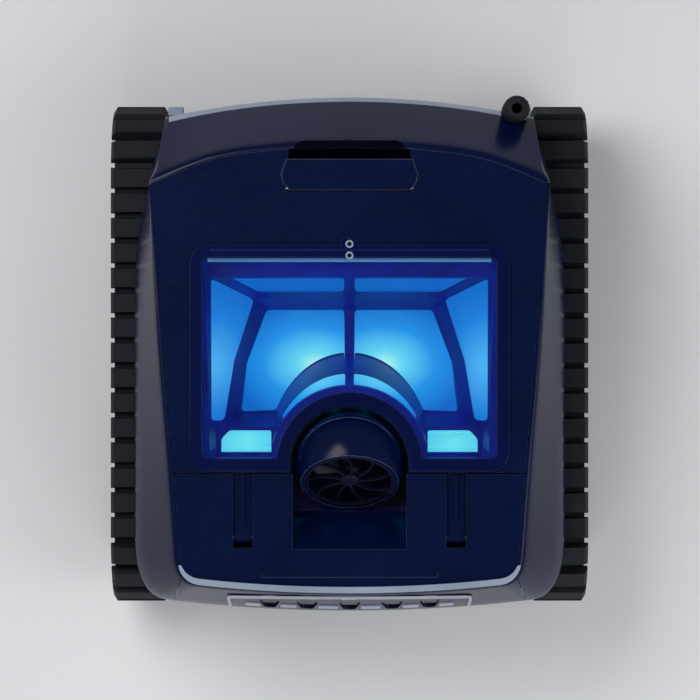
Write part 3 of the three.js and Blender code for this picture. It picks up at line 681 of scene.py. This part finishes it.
def ball_sphere(radius, steps=48):
    """Closed sphere round the outlet's centre, its poles on the jet axis."""
    profile = [(radius * sin(pi * i / steps), -radius * cos(pi * i / steps)) for i in range(steps + 1)]
    profile[0], profile[-1] = (0, -radius), (0, radius)
    return turned(lathe(profile, 2 * steps), JET)


def panel_line():
    """Shallow line with turned-up ends across the tail of the deck."""
    ends = [between(side, 71.2, 72, -182, -178, DECK_TOP - 0.6, DECK_TOP + 1) for _, side in SIDES]
    return [box(-71.4, 71.4, -182, -181.2, DECK_TOP - 0.6, DECK_TOP + 1), *ends]


def make_tail_hood(shell):
    trough = slab([(-97.8, 170), (-131, 170), (-162, 207.5), (-97.8, 207.5)], -49, 49)
    hollow = [(-80, 173), (-127, 173), (-131, 174.5), (-136, 180), (-154, 204), (-160, 211), (-80, 211)]
    tail_deck = keep(deck_zone(0), behind(LID_TAIL - 1.5))
    tail = add(keep(duplicate(shell), add(tail_deck, tail_zone(0))), trough)
    for _, side in SIDES:
        for x0, x1 in ((76, 79), (95, 98)):
            tail = add(tail, between(side, x0, x1, -158, -142, 190, 207.5))
    bumper = keep(skirt_band(0, 4, box_mm("tail_hood")[0].z, SKIRT_BOTTOM + 2), tail_zone(0))
    tail = cut(add(tail, bumper), slab(hollow, -46.5, 46.5), ball_sphere(BALL_RADIUS + 0.6))
    for label, side in SIDES:
        low, high = box_mm(f"hinge_arm_{label}")
        slot = box(low.x - 0.6, high.x + 0.6, -158, -90, 180, 230)
        tail = cut(tail, slot, along_x(prism(circle(2.3, 24), -15, 15), HINGE.x * side, HINGE.y, HINGE.z))
    tail = cut(tail, prism(rounded(GRILLE, 5), 148, 204), *panel_line())
    finished(tail, "tail_hood_shell", SHELL, EDGE_HIGHLIGHT)
    stand_for(tail, "chassis", "shell_gloss", "tail_hood")


def vent(x, half):
    """Six-sided opening through the tail."""
    corners = [(0.5, 1), (-0.5, 1), (-1, 0), (-0.5, -1), (0.5, -1), (1, 0)]
    outline = rounded([(x + u * half, 176 + v * 22) for u, v in corners], 2.5)
    return turned(prism(outline, 160, 240), Matrix.Rotation(pi / 2, 4, "X"))


def make_tail_trims(shell):
    outline = rounded(inset(GRILLE, GAP), 5)
    plate = keep(duplicate(shell), prism(outline, 148, 204))
    vents = [(x, 9 if abs(x) < 50 else 8.5) for x in (0, 35, -35, 66, -66)]
    for x, half in vents:
        plate = cut(plate, vent(x, half))
    finished(plate, "tail_grille_plate", SHELL, EDGE_HIGHLIGHT, bevel=0.7)
    stand_for(plate, "chassis", "trim_grey", "tail_grille")
    skin = cut(envelope(-0.9), envelope(0.4))
    frame_zone = cut(prism(outline, 148.5, 203.5), prism(rounded(inset(outline, 3), 4), 140, 198))
    for x0, x1 in ((9.5, 25.5), (44, 57), (74, 86)):
        for _, side in SIDES:
            frame_zone = add(frame_zone, between(side, x0, x1, -230, -196, 160, 169))
    bars = keep(skin, frame_zone)
    finished(bars, "tail_grille_bars", TRIM_AND_HIGHLIGHT, bevel=0.4)
    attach(bars, "chassis")
    # pale band along the deck's tail edge: a painted highlight for the bright rim there
    low, high = box_mm("tail_strip")
    inner = [(x, y + 3.8) for x, y in inset(DECK, 2.2)]
    band = cut(prism(inset(DECK, 0.8), low.z, high.z), prism(inner, 200, 230))
    band = keep(band, behind(high.y))
    finished(band, "tail_highlight_strip", TRIM_AND_HIGHLIGHT)
    stand_for(band, "chassis", "trim_grey", "tail_strip")


# ------------------------------------------------------------------ lid


def arch_bore(radius):
    return prism(circle(radius, 128, 0, BALL_CENTRE.y), 150, 240)


def window_opening(grow, z0, z1):
    outline = rounded(rectangle(-120 - grow, 120 + grow, -85 - grow, 78.5 + grow), 7 + grow)
    return cut(prism(outline, z0, z1), arch_bore(60 - grow))


def latch_bar(radius, half):
    return along_x(prism(circle(radius, 32), -half, half), 0, LATCH_AXLE.y, LATCH_AXLE.z)


def make_lid(shell):
    lid = keep(duplicate(shell), cut(deck_zone(GAP / 2), behind(LID_TAIL)))
    latch_room = [
        prism(inset(counter_clockwise(LATCH), -0.6), 190, 230),
        box(-52.3, 52.3, LATCH_AXLE.y - 2.9, LATCH_AXLE.y + 2.2, 190, 230),
        box(-50, 50, LATCH_NOSE - 4, 180, 190, 230),
    ]
    lid = cut(lid, arch_bore(48), window_opening(0, 180, 230), *latch_room)
    for _, side in SIDES:
        lid = add(lid, between(side, 66, 112, LID_TAIL, -90.6, 200, 207.5))
        lid = add(lid, between(side, 51.2, 54, LATCH_AXLE.y - 4, LATCH_AXLE.y + 1, 203, 207.5))
    finished(lid, "lid_shell", SHELL, EDGE_HIGHLIGHT)
    stand_for(lid, "lid", "shell_gloss", "lid")


def make_window():
    low, high = box_mm("window_bezel")
    tab = prism(rounded(rectangle(-7, 7, 80, high.y), 3), low.z, high.z)
    bezel = cut(add(window_opening(10.3, low.z, high.z), tab), window_opening(0.4, 200, 230))
    bezel = cut(bezel, box(-113, 113, 84.3, 85.3, high.z - 0.6, high.z + 1))
    finished(bezel, "window_bezel_frame", BEZEL, BEZEL_HIGHLIGHT, bevel=0.7, segments=3)
    stand_for(bezel, "lid", "shell_gloss", "window_bezel")
    low, high = box_mm("window_pane")
    pane = window_opening(4, low.z, high.z)
    finished(pane, "window_clear", PANE, bevel=0.3)
    stand_for(pane, "lid", "smoked_glass", "window_pane")
    low, high = box_mm("window_gasket")
    seal = cut(window_opening(4.5, low.z, high.z), window_opening(0.4, 200, 230))
    finished(seal, "window_seal", SEAL, segments=3)
    stand_for(seal, "lid", "seal_rubber", "window_gasket")


def make_latch():
    low, high = box_mm("latch_paddle")
    paddle = add(prism(LATCH, high.z - 3.4, high.z), latch_bar(2.4, 50))
    paddle = add(paddle, box(-30, 30, LATCH_NOSE - 3, LATCH_NOSE, low.z, high.z - 3))
    paddle = cut(paddle, latch_bar(1.4, 60))
    finished(paddle, "latch_paddle_shell", SHELL, EDGE_HIGHLIGHT, bevel=0.9)
    stand_for(paddle, "latch", "shell_gloss", "latch_paddle")


def make_indicator_rings():
    for label in ("nose", "tail"):
        middle = centre_mm(f"indicator_ring_{label}")
        section = [(2.5 + 0.8 * cos(2 * pi * i / 16), 0.85 * sin(2 * pi * i / 16)) for i in range(16)]
        ring = turned(lathe(section, 40), Matrix.Translation(middle * MM))
        finished(ring, f"indicator_ring_{label}_torus", TRIM_AND_HIGHLIGHT, bevel=0)
        stand_for(ring, "lid", "trim_grey", f"indicator_ring_{label}")


# ------------------------------------------------------------------ filter canister

RIM_LINE = [(121, 66), (-121, 66), (-117, -85), *arc(CAN_ARCH, 61, 56, 180, 0, 48), (117, -85)]
FLOOR_START = degrees(asin(33 / 82))
FLOOR_LINE = [
    (72, 40), (-72, 40), (-95, -52), *arc(CAN_ARCH, 65.8, 82, 180 - FLOOR_START, FLOOR_START, 48), (95, -52),
]
RIB = 4
PORT = (66, 104, -79.7, -64.7)
SHELF = 167
ROD = centre_mm("canister_rod")


def funnel(wall, top=CAN_RIM):
    """Canister's funnel drawn in by a wall thickness."""
    low, high, steps = CAN_FLOOR + wall, CAN_RIM - 1, 12
    foot, rim = inset(FLOOR_LINE, wall), inset(RIM_LINE, wall)
    rings = []
    for i in range(steps + 1):
        t = i / steps
        outline = [(a + (c - a) * t, b + (d - b) * t) for (a, b), (c, d) in zip(foot, rim)]
        rings.append((outline, low + (high - low) * t))
    return loft([*rings, (rim, top)], "funnel")


def canister_openings():
    """Outlines of the right-hand panels, seen from above; sided() gives the left-hand ones."""
    return {
        "front": [(RIB, 63.2), (RIB, 51.3), (76, 51.3), (98.5, 63.2)],
        "arch": [*arc(CAN_ARCH, 64, 69, 30, 87, 20), *arc(CAN_ARCH, 62, 58.5, 87, 30, 20)],
        "side": [(114, 62.5), (79.5, 45.5), (95.5, -5.5), (103.5, -55), (113.5, -55)],
        "floor": [
            (RIB, 37.2), (RIB, -6), *arc(CAN_ARCH, 68.5, 86, 86, 26, 20),
            (91, -48.5), (86, -7.2), (69.7, 37.2),
        ],
    }


def porch(side, wall, z0, z1):
    """Recess at the tail of the canister over one inlet port."""
    return between(side, 60 + wall, 113 - wall, -88 + wall, -60, z0, z1)


def rod_bar(radius, half):
    return along_x(prism(circle(radius, 32), -half, half), 0, ROD.y, ROD.z)


def make_canister():
    flange = prism(rounded(rectangle(-128, 128, -88, 88), 8), CAN_RIM - 3, CAN_RIM)
    flange = cut(flange, arch_bore(53), prism(inset(RIM_LINE, WALL), 150, 230))
    body = add(funnel(0), flange)
    room = funnel(WALL, CAN_RIM + 1)
    for _, side in SIDES:
        body = add(body, between(side, 116, 120, 73.7, 79.7, CAN_RIM - 1, CAN_RIM + 6.5))
        body = add(body, porch(side, 0, SHELF, CAN_RIM - 2))
        room = cut(room, porch(side, 0, SHELF, SHELF + WALL))
    body = cut(body, room, rod_bar(1.8, 125))
    for label, side in SIDES:
        body = cut(body, porch(side, WALL, SHELF + WALL, CAN_RIM + 1))
        body = cut(body, between(side, *PORT, 100, SHELF + 4))
        for name, outline in canister_openings().items():
            body = cut(body, prism(rounded(sided(side, outline), 3.5), 90, CAN_RIM - 4))
            panel = cut(funnel(0.8), funnel(2.2, CAN_RIM + 1))
            edge = rounded(inset(sided(side, outline), 0.3), 3.5)
            panel = keep(panel, prism(edge, 90, CAN_RIM - 4.4))
            lit = MESH_FLOOR if name in ("floor", "arch") else MESH_WALL
            finished(panel, f"mesh_{name}_{label}_weave", lit, bevel=0.2)
            stand_for(panel, "chassis", "filter_mesh", f"mesh_{name}_{label}")
    finished(body, "canister_frame_moulding", CANISTER, CANISTER_EDGE_GLOW, bevel=0.7)
    stand_for(body, "chassis", "canister_blue", "canister_frame")


def make_flaps():
    """Inlet flaps: a framed pane on a hinge barrel."""
    for label, side in SIDES:
        low, high = box_mm(f"inlet_flap_{label}")
        hinge_y, hinge_z = low.y + 1.7, high.z - 1.7
        near, far = sorted((abs(low.x), abs(high.x)))
        outline = [(near, hinge_y), (far, hinge_y), (far, high.y - 7), (far - 6.5, high.y), (near, high.y)]
        outline = rounded(sided(side, outline), 2)
        flap = prism(outline, low.z, low.z + 1.7)
        flap = cut(flap, prism(rounded(inset(counter_clockwise(outline), 2.4), 1), low.z + 1.1, high.z + 1))
        middle = 85 * side
        barrel = prism(circle(1.7, 24), low.x - middle, high.x - middle)
        flap = add(flap, along_x(barrel, middle, hinge_y, hinge_z))
        finished(flap, f"flap_pane_{label}", FLAP, CANISTER_EDGE_GLOW, bevel=0.3)
        stand_for(flap, f"flap_{label}", "flap_blue", f"inlet_flap_{label}")


# ------------------------------------------------------------------ outlet and propeller


def on_jet(obj):
    """Turns a piece made about Z onto the jet axis."""
    return turned(obj, JET)


def make_outlet_ball():
    mouth, bottom, bore = 17.5, box_mm("outlet_ball")[0].z, 18.6
    ball = cut(ball_sphere(BALL_RADIUS), ball_sphere(BALL_RADIUS - 3))
    beyond = on_jet(box(-100, 100, -100, 100, mouth, mouth + 100))
    pump_bore = on_jet(prism(circle(bore, 64), -90, -30))
    ball = cut(ball, beyond, pump_bore, box(-60, 60, -150, -30, 100, bottom))
    seam = [(BALL_RADIUS + u, v) for u, v in ((-0.5, -0.8), (2, -0.8), (2, 0.8), (-0.5, 0.8))]
    seam_place = Matrix.Translation(BALL_CENTRE * MM) @ Matrix.Rotation(radians(25), 4, "X")
    groove = turned(lathe(seam, 96), seam_place)
    # pale trim colour on the ball's bevel faces: a painted highlight round its mouth and seam
    finished(cut(ball, groove), "outlet_ball_shell", SHELL, TRIM_AND_HIGHLIGHT, bevel=0.7, segments=3)
    stand_for(ball, "chassis", "shell_gloss", "outlet_ball")


def curved_blade(turn, near, far, sweep, thick, z0, z1):
    """Guard blade: a bar that bends back from hub to rim."""
    front, back = [], []
    for i in range(13):
        t = i / 12
        radius = near + (far - near) * t
        angle = turn + sweep * t * t
        half = (thick * (1 - 0.4 * t) / 2) / radius
        front.append((radius * cos(angle + half), radius * sin(angle + half)))
        back.append((radius * cos(angle - half), radius * sin(angle - half)))
    return prism([*back, *reversed(front)], z0, z1)


def make_guard():
    ring = lathe([(34.2, 12.5), (36.1, 12.5), (36.1, 15.7), (35.3, 16.5), (34.2, 16.5)], 96)
    hub = lathe([(0, 12.5), (8, 12.5), (8, 15.2), (6.4, 16.3), (0, 16.5)], 48)
    for i in range(9):
        ring = add(ring, curved_blade(2 * pi * i / 9, 7, 34.8, 0.32, 1.7, 12.7, 16))
    finished(on_jet(add(ring, hub)), "outlet_guard_vanes", PROPELLER, bevel=0.25)
    stand_for(ring, "chassis", "body_matte", "outlet_guard")


def propeller_blade(turn):
    """Blade with falling pitch from root to a rounded tip, as a closed grid."""
    stations, across = 14, 8
    rings = []
    for i in range(stations + 1):
        t = i / stations
        radius = 6.5 + 25.5 * t
        pitch = radians(48 - 24 * t)
        chord = (13 + 7 * t) * (1 if t < 0.7 else sqrt(max(0.06, 1 - ((t - 0.7) / 0.31) ** 2)))
        thick = 1.9 - 1.0 * t
        ring = []
        for k in range(2 * across):
            u = cos(pi * k / across)
            v = sin(pi * k / across) * thick / 2 * (1 - 0.5 * u)
            along, lift = u * chord / 2, v + 0.6 * (1 - u * u)
            y = along * cos(pitch) - lift * sin(pitch)
            ring.append((radius, y, along * sin(pitch) + lift * cos(pitch) - 1))
        rings.append(ring)
    return turned(tube("blade", rings), Matrix.Rotation(turn, 4, "Z"))


def make_propeller():
    rotor = lathe([(0, -7), (7.2, -7), (8, -6.2), (8, 5), (7.4, 7), (5.5, 9), (2.8, 10.2), (0, 10.5)], 64)
    for i in range(4):
        rotor = add(rotor, propeller_blade(i * pi / 2))
    rotor = cut(rotor, prism(circle(2.8, 32), -20, 4))
    finished(on_jet(rotor), "propeller_blades", PROPELLER, bevel=0.2)
    stand_for(rotor, "rotor", "body_matte", "propeller")


# ------------------------------------------------------------------ tracks and wheels

BELT_IN, BELT_OUT, LUG_TIP = 50.5, 54.5, 62.5
LUG_COUNT, LUG_PHASE, LUG_BASE, LUG_CREST, LUG_TAPER = 44, 0.1, 17.4, 15.0, 3.0
AXLE_NOSE, AXLE_TAIL, AXLE_Z = AXLE.y, -AXLE.y, AXLE.z


def track_line(radius, steps=40):
    """Side view of the track run at a distance from the wheel axles."""
    points = []
    for y, start in ((AXLE_NOSE, -90), (AXLE_TAIL, 90)):
        angles = [radians(start + 180 * i / steps) for i in range(steps + 1)]
        points += [(y + radius * cos(a), AXLE_Z + radius * sin(a)) for a in angles]
    return points


def lug_place(fraction):
    """Middle of a lug along the belt, as (y, z, turn about X)."""
    radius = (BELT_IN + BELT_OUT) / 2
    straight, turn = AXLE_NOSE - AXLE_TAIL, pi * radius
    along = (fraction % 1) * 2 * (straight + turn)
    if along < straight:
        return AXLE_NOSE - along, AXLE_Z, -pi
    if along < straight + turn:
        return AXLE_TAIL, AXLE_Z, pi - (along - straight) / radius
    if along < 2 * straight + turn:
        return AXLE_TAIL + along - straight - turn, AXLE_Z, 0
    return AXLE_NOSE, AXLE_Z, -(along - 2 * straight - turn) / radius


def lug(side, fraction):
    """Tread pad across the belt, with sloping flanks and chamfered ends."""
    y, z, turn = lug_place(fraction)
    half = (TRACK_OUT - TRACK_IN) / 2
    foot = rectangle(-half, half, -LUG_BASE / 2, LUG_BASE / 2)
    crest = rectangle(-half + LUG_TAPER, half - LUG_TAPER, -LUG_CREST / 2, LUG_CREST / 2)
    pad = loft([(foot, BELT_OUT - 1), (foot, BELT_OUT + 3), (crest, LUG_TIP)])
    place = Matrix.Translation(Vector((side * (TRACK_IN + TRACK_OUT) / 2, y, z)) * MM)
    return turned(pad, place @ Matrix.Rotation(turn, 4, "X"))


def belt_loop(x0, x1):
    """Closed band between the belt's inner and outer side-view lines, from x0 to x1 across."""
    outer, inner = track_line(BELT_OUT), track_line(BELT_IN)
    count = len(outer)
    rings = [(x0, outer), (x1, outer), (x1, inner), (x0, inner)]
    verts = [(x, y, z) for x, line in rings for y, z in line]
    faces = []
    for k in range(4):
        a, b = k * count, (k + 1) % 4 * count
        for i in range(count):
            j = (i + 1) % count
            faces.append((a + i, a + j, b + j, b + i))
    belt = mesh_object("belt", verts, faces)
    recalculate(belt)
    return belt


def make_tracks():
    for label, side in SIDES:
        belt = belt_loop(side * TRACK_IN, side * (TRACK_OUT - LUG_TAPER))
        lugs = joined("lugs", [lug(side, (i + LUG_PHASE) / LUG_COUNT) for i in range(LUG_COUNT)])
        belt = add(belt, lugs)
        finished(belt, f"track_tread_{label}", TRACK, TRACK_HIGHLIGHT, bevel=0.45)
        stand_for(belt, "chassis", "track_rubber", f"track_belt_{label}")


WHEEL_HALF = 19.5
RIM_RADIUS = 49.8
STUB_BORE = 6.4
TOOTH_COUNT = 10


def wheel_window(turn):
    """Opening between two spokes."""
    inner, outer, spread_in, spread_out = 17, 39.5, radians(17), radians(29)
    outline = [(inner * cos(a), inner * sin(a)) for a in (turn - spread_in, turn, turn + spread_in)]
    rim_angles = [turn + spread_out * (1 - i / 4) for i in range(9)]
    outline += [(outer * cos(a), outer * sin(a)) for a in rim_angles]
    return prism(rounded(outline, 3), -30, 30)


def wheel_body(rim):
    """Five-spoked wheel about Z: flanged rim, dished spokes and a stepped hub."""
    half = WHEEL_HALF
    section = [
        (0, -half + 3), (12, -half), (14, -half + 4), (39, -half + 7), (41.5, -half), (rim - 0.8, -half),
        (rim, -half + 0.8), (rim, half - 0.8), (rim - 0.8, half), (41.5, half), (39.5, half - 7),
        (15, half - 4), (12.5, half - 1), (11.5, half), (8.6, half), (8.2, half - 1.5), (0, half - 1.5),
    ]
    wheel = lathe(section, 96)
    for i in range(5):
        wheel = cut(wheel, wheel_window(2 * pi * i / 5))
    return wheel


def on_axle(obj, side, y, z):
    """Turns a piece made about Z so that its top faces outwards on a wheel axle."""
    place = Matrix.Translation(Vector((side * AXLE.x, y, z)) * MM)
    return turned(obj, place @ Matrix.Rotation(side * pi / 2, 4, "Y"))


def make_wheels():
    for label, side in SIDES:
        bore = prism(circle(STUB_BORE, 32), -40, 40)
        idler = on_axle(cut(wheel_body(RIM_RADIUS), bore), side, AXLE_NOSE, AXLE_Z)
        finished(idler, f"idler_spoked_{label}", WHEEL, WHEEL_HIGHLIGHT, bevel=0.6)
        stand_for(idler, f"idler_{label}", "wheel_plastic", f"idler_wheel_{label}")

        drive = wheel_body(RIM_RADIUS - 3)
        root, tip = RIM_RADIUS - 6, RIM_RADIUS + 0.1
        tooth = rounded([(root, -4.5), (tip, -2.4), (tip, 2.4), (root, 4.5)], 1)
        for i in range(TOOTH_COUNT):
            turn = Matrix.Rotation(2 * pi * i / TOOTH_COUNT, 4, "Z")
            drive = add(drive, turned(prism(tooth, -15.5, 15.5), turn))
        drive = add(drive, prism(circle(6, 32), -49, -14))
        on_axle(drive, side, AXLE_TAIL, AXLE_Z)
        finished(drive, f"sprocket_toothed_{label}", WHEEL, WHEEL_HIGHLIGHT, bevel=0.6)
        stand_for(drive, f"sprocket_{label}", "wheel_plastic", f"drive_sprocket_{label}")

        for end in ("nose", "tail"):
            place = centre_mm(f"road_roller_{end}_{label}")
            section = [
                (STUB_BORE, -19.5), (10.5, -19.5), (11, -18), (13.8, -18), (15, -16.5), (15, -3), (13.2, -1.8),
                (13.2, 1.8), (15, 3), (15, 16.5), (13.8, 18), (11, 18), (10.5, 19.5), (STUB_BORE, 19.5),
            ]
            roller = on_axle(lathe(section, 64), side, place.y, place.z)
            finished(roller, f"roller_grooved_{end}_{label}", WHEEL, WHEEL_HIGHLIGHT, bevel=0.4)
            stand_for(roller, f"roller_{end}_{label}", "wheel_plastic", f"road_roller_{end}_{label}")


# ------------------------------------------------------------------ brush and cable gland

BRUSH = centre_mm("brush_core")
FIN_COUNT, FIN_ROOT, FIN_TIP = 8, 15.0, 30.0


def brush_fin(index, half):
    """Rubber fin that leans back to its scalloped tip and runs in a shallow chevron."""
    stations = 84
    profile = [(0.0, 1.3), (0.35, 1.05), (0.7, 0.85), (1.0, 0.6)]
    rings = []
    for i in range(stations + 1):
        ring = []
        t = 2 * i / stations - 1
        lead = 2 * pi * index / FIN_COUNT + 0.42 * abs(t)
        notch = 1 - 0.16 * max(0, cos(2 * pi * i / 7)) ** 6
        for sign in (1, -1):
            for share, thick in profile if sign > 0 else reversed(profile):
                radius = FIN_ROOT + (FIN_TIP - 0.4 - FIN_ROOT) * share * notch
                angle = lead + 0.22 * share * share + sign * thick / radius
                ring.append((radius * cos(angle), radius * sin(angle), t * half))
        rings.append(ring)
    return tube("fin", rings)


def make_brush():
    low, high = box_mm("brush_sleeve")
    half = (high.x - low.x) / 2
    section = [(13, -half), (15.6, -half), (16, -half + 0.5), (16, half - 0.5), (15.6, half), (13, half)]
    sleeve = lathe(section, 64)
    for i in range(FIN_COUNT):
        sleeve = add(sleeve, brush_fin(i, half))
    along_x(sleeve, 0, BRUSH.y, BRUSH.z)
    finished(sleeve, "brush_fins", FIN, bevel=0.2)
    stand_for(sleeve, "brush", "brush_rubber", "brush_sleeve")


def make_gland():
    low, high = box_mm("cable_gland")
    middle, top = centre_mm("cable_gland"), high.z
    radius = (high.x - low.x) / 2
    section = [
        (0, low.z), (radius, low.z), (radius, top - 14), (radius - 1.2, top - 12.5), (radius - 1.2, top - 11),
        (radius - 0.2, top - 9.6), (radius - 0.2, top - 5), (radius - 1.2, top - 2.4), (radius - 3.2, top - 0.5),
        (radius - 4.6, top), (5.2, top), (4.4, top - 0.8), (4, top - 2), (4, top - 30), (0, top - 30),
    ]
    gland = lathe(section, 64)
    for i in range(16):
        flute = prism(circle(0.9, 12, radius + 0.2), top - 10.5, top - 4)
        gland = cut(gland, turned(flute, Matrix.Rotation(2 * pi * i / 16, 4, "Z")))
    turned(gland, Matrix.Translation(Vector((middle.x, middle.y, 0)) * MM))
    finished(gland, "cable_gland_cap", SEAL, TRACK_HIGHLIGHT, bevel=0.3)
    stand_for(gland, "chassis", "seal_rubber", "cable_gland")


# ------------------------------------------------------------------ CAD nodes that stay


def dress_node(name, material, bevel=0.6):
    """Gives a CAD node its finish, with softened edges; its mesh isn't touched."""
    node = NODES[name]
    if not node.material_slots:
        node.data.materials.append(None)
    for slot in node.material_slots:
        slot.material = material
    weld = node.modifiers.new("weld", "WELD")
    weld.merge_threshold = 0.01 * MM
    modifier = node.modifiers.new("soft_edges", "BEVEL")
    modifier.width = bevel * MM
    modifier.segments = 2
    modifier.limit_method = "ANGLE"
    modifier.angle_limit = radians(32)
    modifier.harden_normals = True


def dress_nodes():
    both = [f"{name}_{label}" for name in ("side_frame", "inlet_duct", "drive_motor") for label, _ in SIDES]
    for name in (*both, "chassis_tub", "electronics_box", "pump_cradle", "brush_core"):
        dress_node(name, BODY)
    dress_node("pump_motor", PROPELLER)
    for label, _ in SIDES:
        dress_node(f"corner_tab_{label}", TRIM_AND_HIGHLIGHT, bevel=1.0)
        dress_node(f"hinge_arm_{label}", SHELL)
        dress_node(f"hinge_pin_{label}", STEEL, bevel=0.3)
    # the canister rod's blue colour and glow are painted light
    for name, steel in (("latch_pin", STEEL), ("canister_rod", ROD_STEEL_GLOW), ("propeller_shaft", STEEL)):
        dress_node(name, steel, bevel=0.2)


# ------------------------------------------------------------------ build


def light(name, kind, energy, place, target=(0, 0, 0.1), **settings):
    data = bpy.data.lights.new(name, kind)
    data.energy = energy
    for key, value in settings.items():
        setattr(data, key, value)
    lamp = bpy.data.objects.new(name, data)
    lamp.location = place
    lamp.rotation_euler = (Vector(target) - Vector(place)).to_track_quat("-Z", "Y").to_euler()
    bpy.context.scene.collection.objects.link(lamp)


def make_stage():
    corners = rectangle(-4000, 4000, -4000, 4000)
    floor = mesh_object("studio_floor", [(x, y, -0.5) for x, y in corners], [(0, 1, 2, 3)])
    finish = Finish("pale_floor", Roughness=0.85, Specular_IOR_Level=0.1)
    finish.link("Base Color", finish.ramp(finish.noise(3, 2), [(0.3, 0.80), (0.7, 0.83)]))
    floor.data.materials.append(finish.material)
    world = bpy.data.worlds.new("studio")
    world.use_nodes = True
    nodes, links = world.node_tree.nodes, world.node_tree.links
    height = nodes.new("ShaderNodeSeparateXYZ")
    links.new(nodes.new("ShaderNodeTexCoord").outputs["Generated"], height.inputs[0])
    sky = nodes.new("ShaderNodeValToRGB")
    sky.color_ramp.elements[0].color = (0.17, 0.19, 0.23, 1)
    sky.color_ramp.elements[1].position = 0.75
    sky.color_ramp.elements[1].color = (0.12, 0.13, 0.15, 1)
    links.new(height.outputs["Z"], sky.inputs["Fac"])
    links.new(sky.outputs["Color"], nodes["Background"].inputs["Color"])
    bpy.context.scene.world = world
    light("key", "AREA", 22, (-0.9, 0.7, 1.7), shape="RECTANGLE", size=1.3, size_y=0.9)
    light("fill", "AREA", 11, (1.3, -0.5, 1.3), shape="RECTANGLE", size=1.2, size_y=1.2)
    light("rim", "AREA", 10, (0.1, -1.5, 0.9), shape="RECTANGLE", size=1.4, size_y=0.5)


def make_camera():
    data = bpy.data.cameras.new("view")
    data.lens = 200
    data.sensor_width = 36
    camera = bpy.data.objects.new("view", data)
    plane, field = 0.15, 0.581
    camera.location = (0.0004, 0.0033, plane + field * data.lens / data.sensor_width)
    bpy.context.scene.collection.objects.link(camera)
    bpy.context.scene.camera = camera


bpy.context.scene.view_settings.view_transform = "Standard"
make_camera()
make_stage()
hood = hollow_shell()
make_nose_hood(hood)
make_flanks(hood)
make_tail_hood(hood)
make_tail_trims(hood)
make_lid(hood)
discard(hood)
make_window()
make_latch()
make_indicator_rings()
make_canister()
make_flaps()
make_outlet_ball()
make_guard()
make_propeller()
make_tracks()
make_wheels()
make_brush()
make_gland()
dress_nodes()
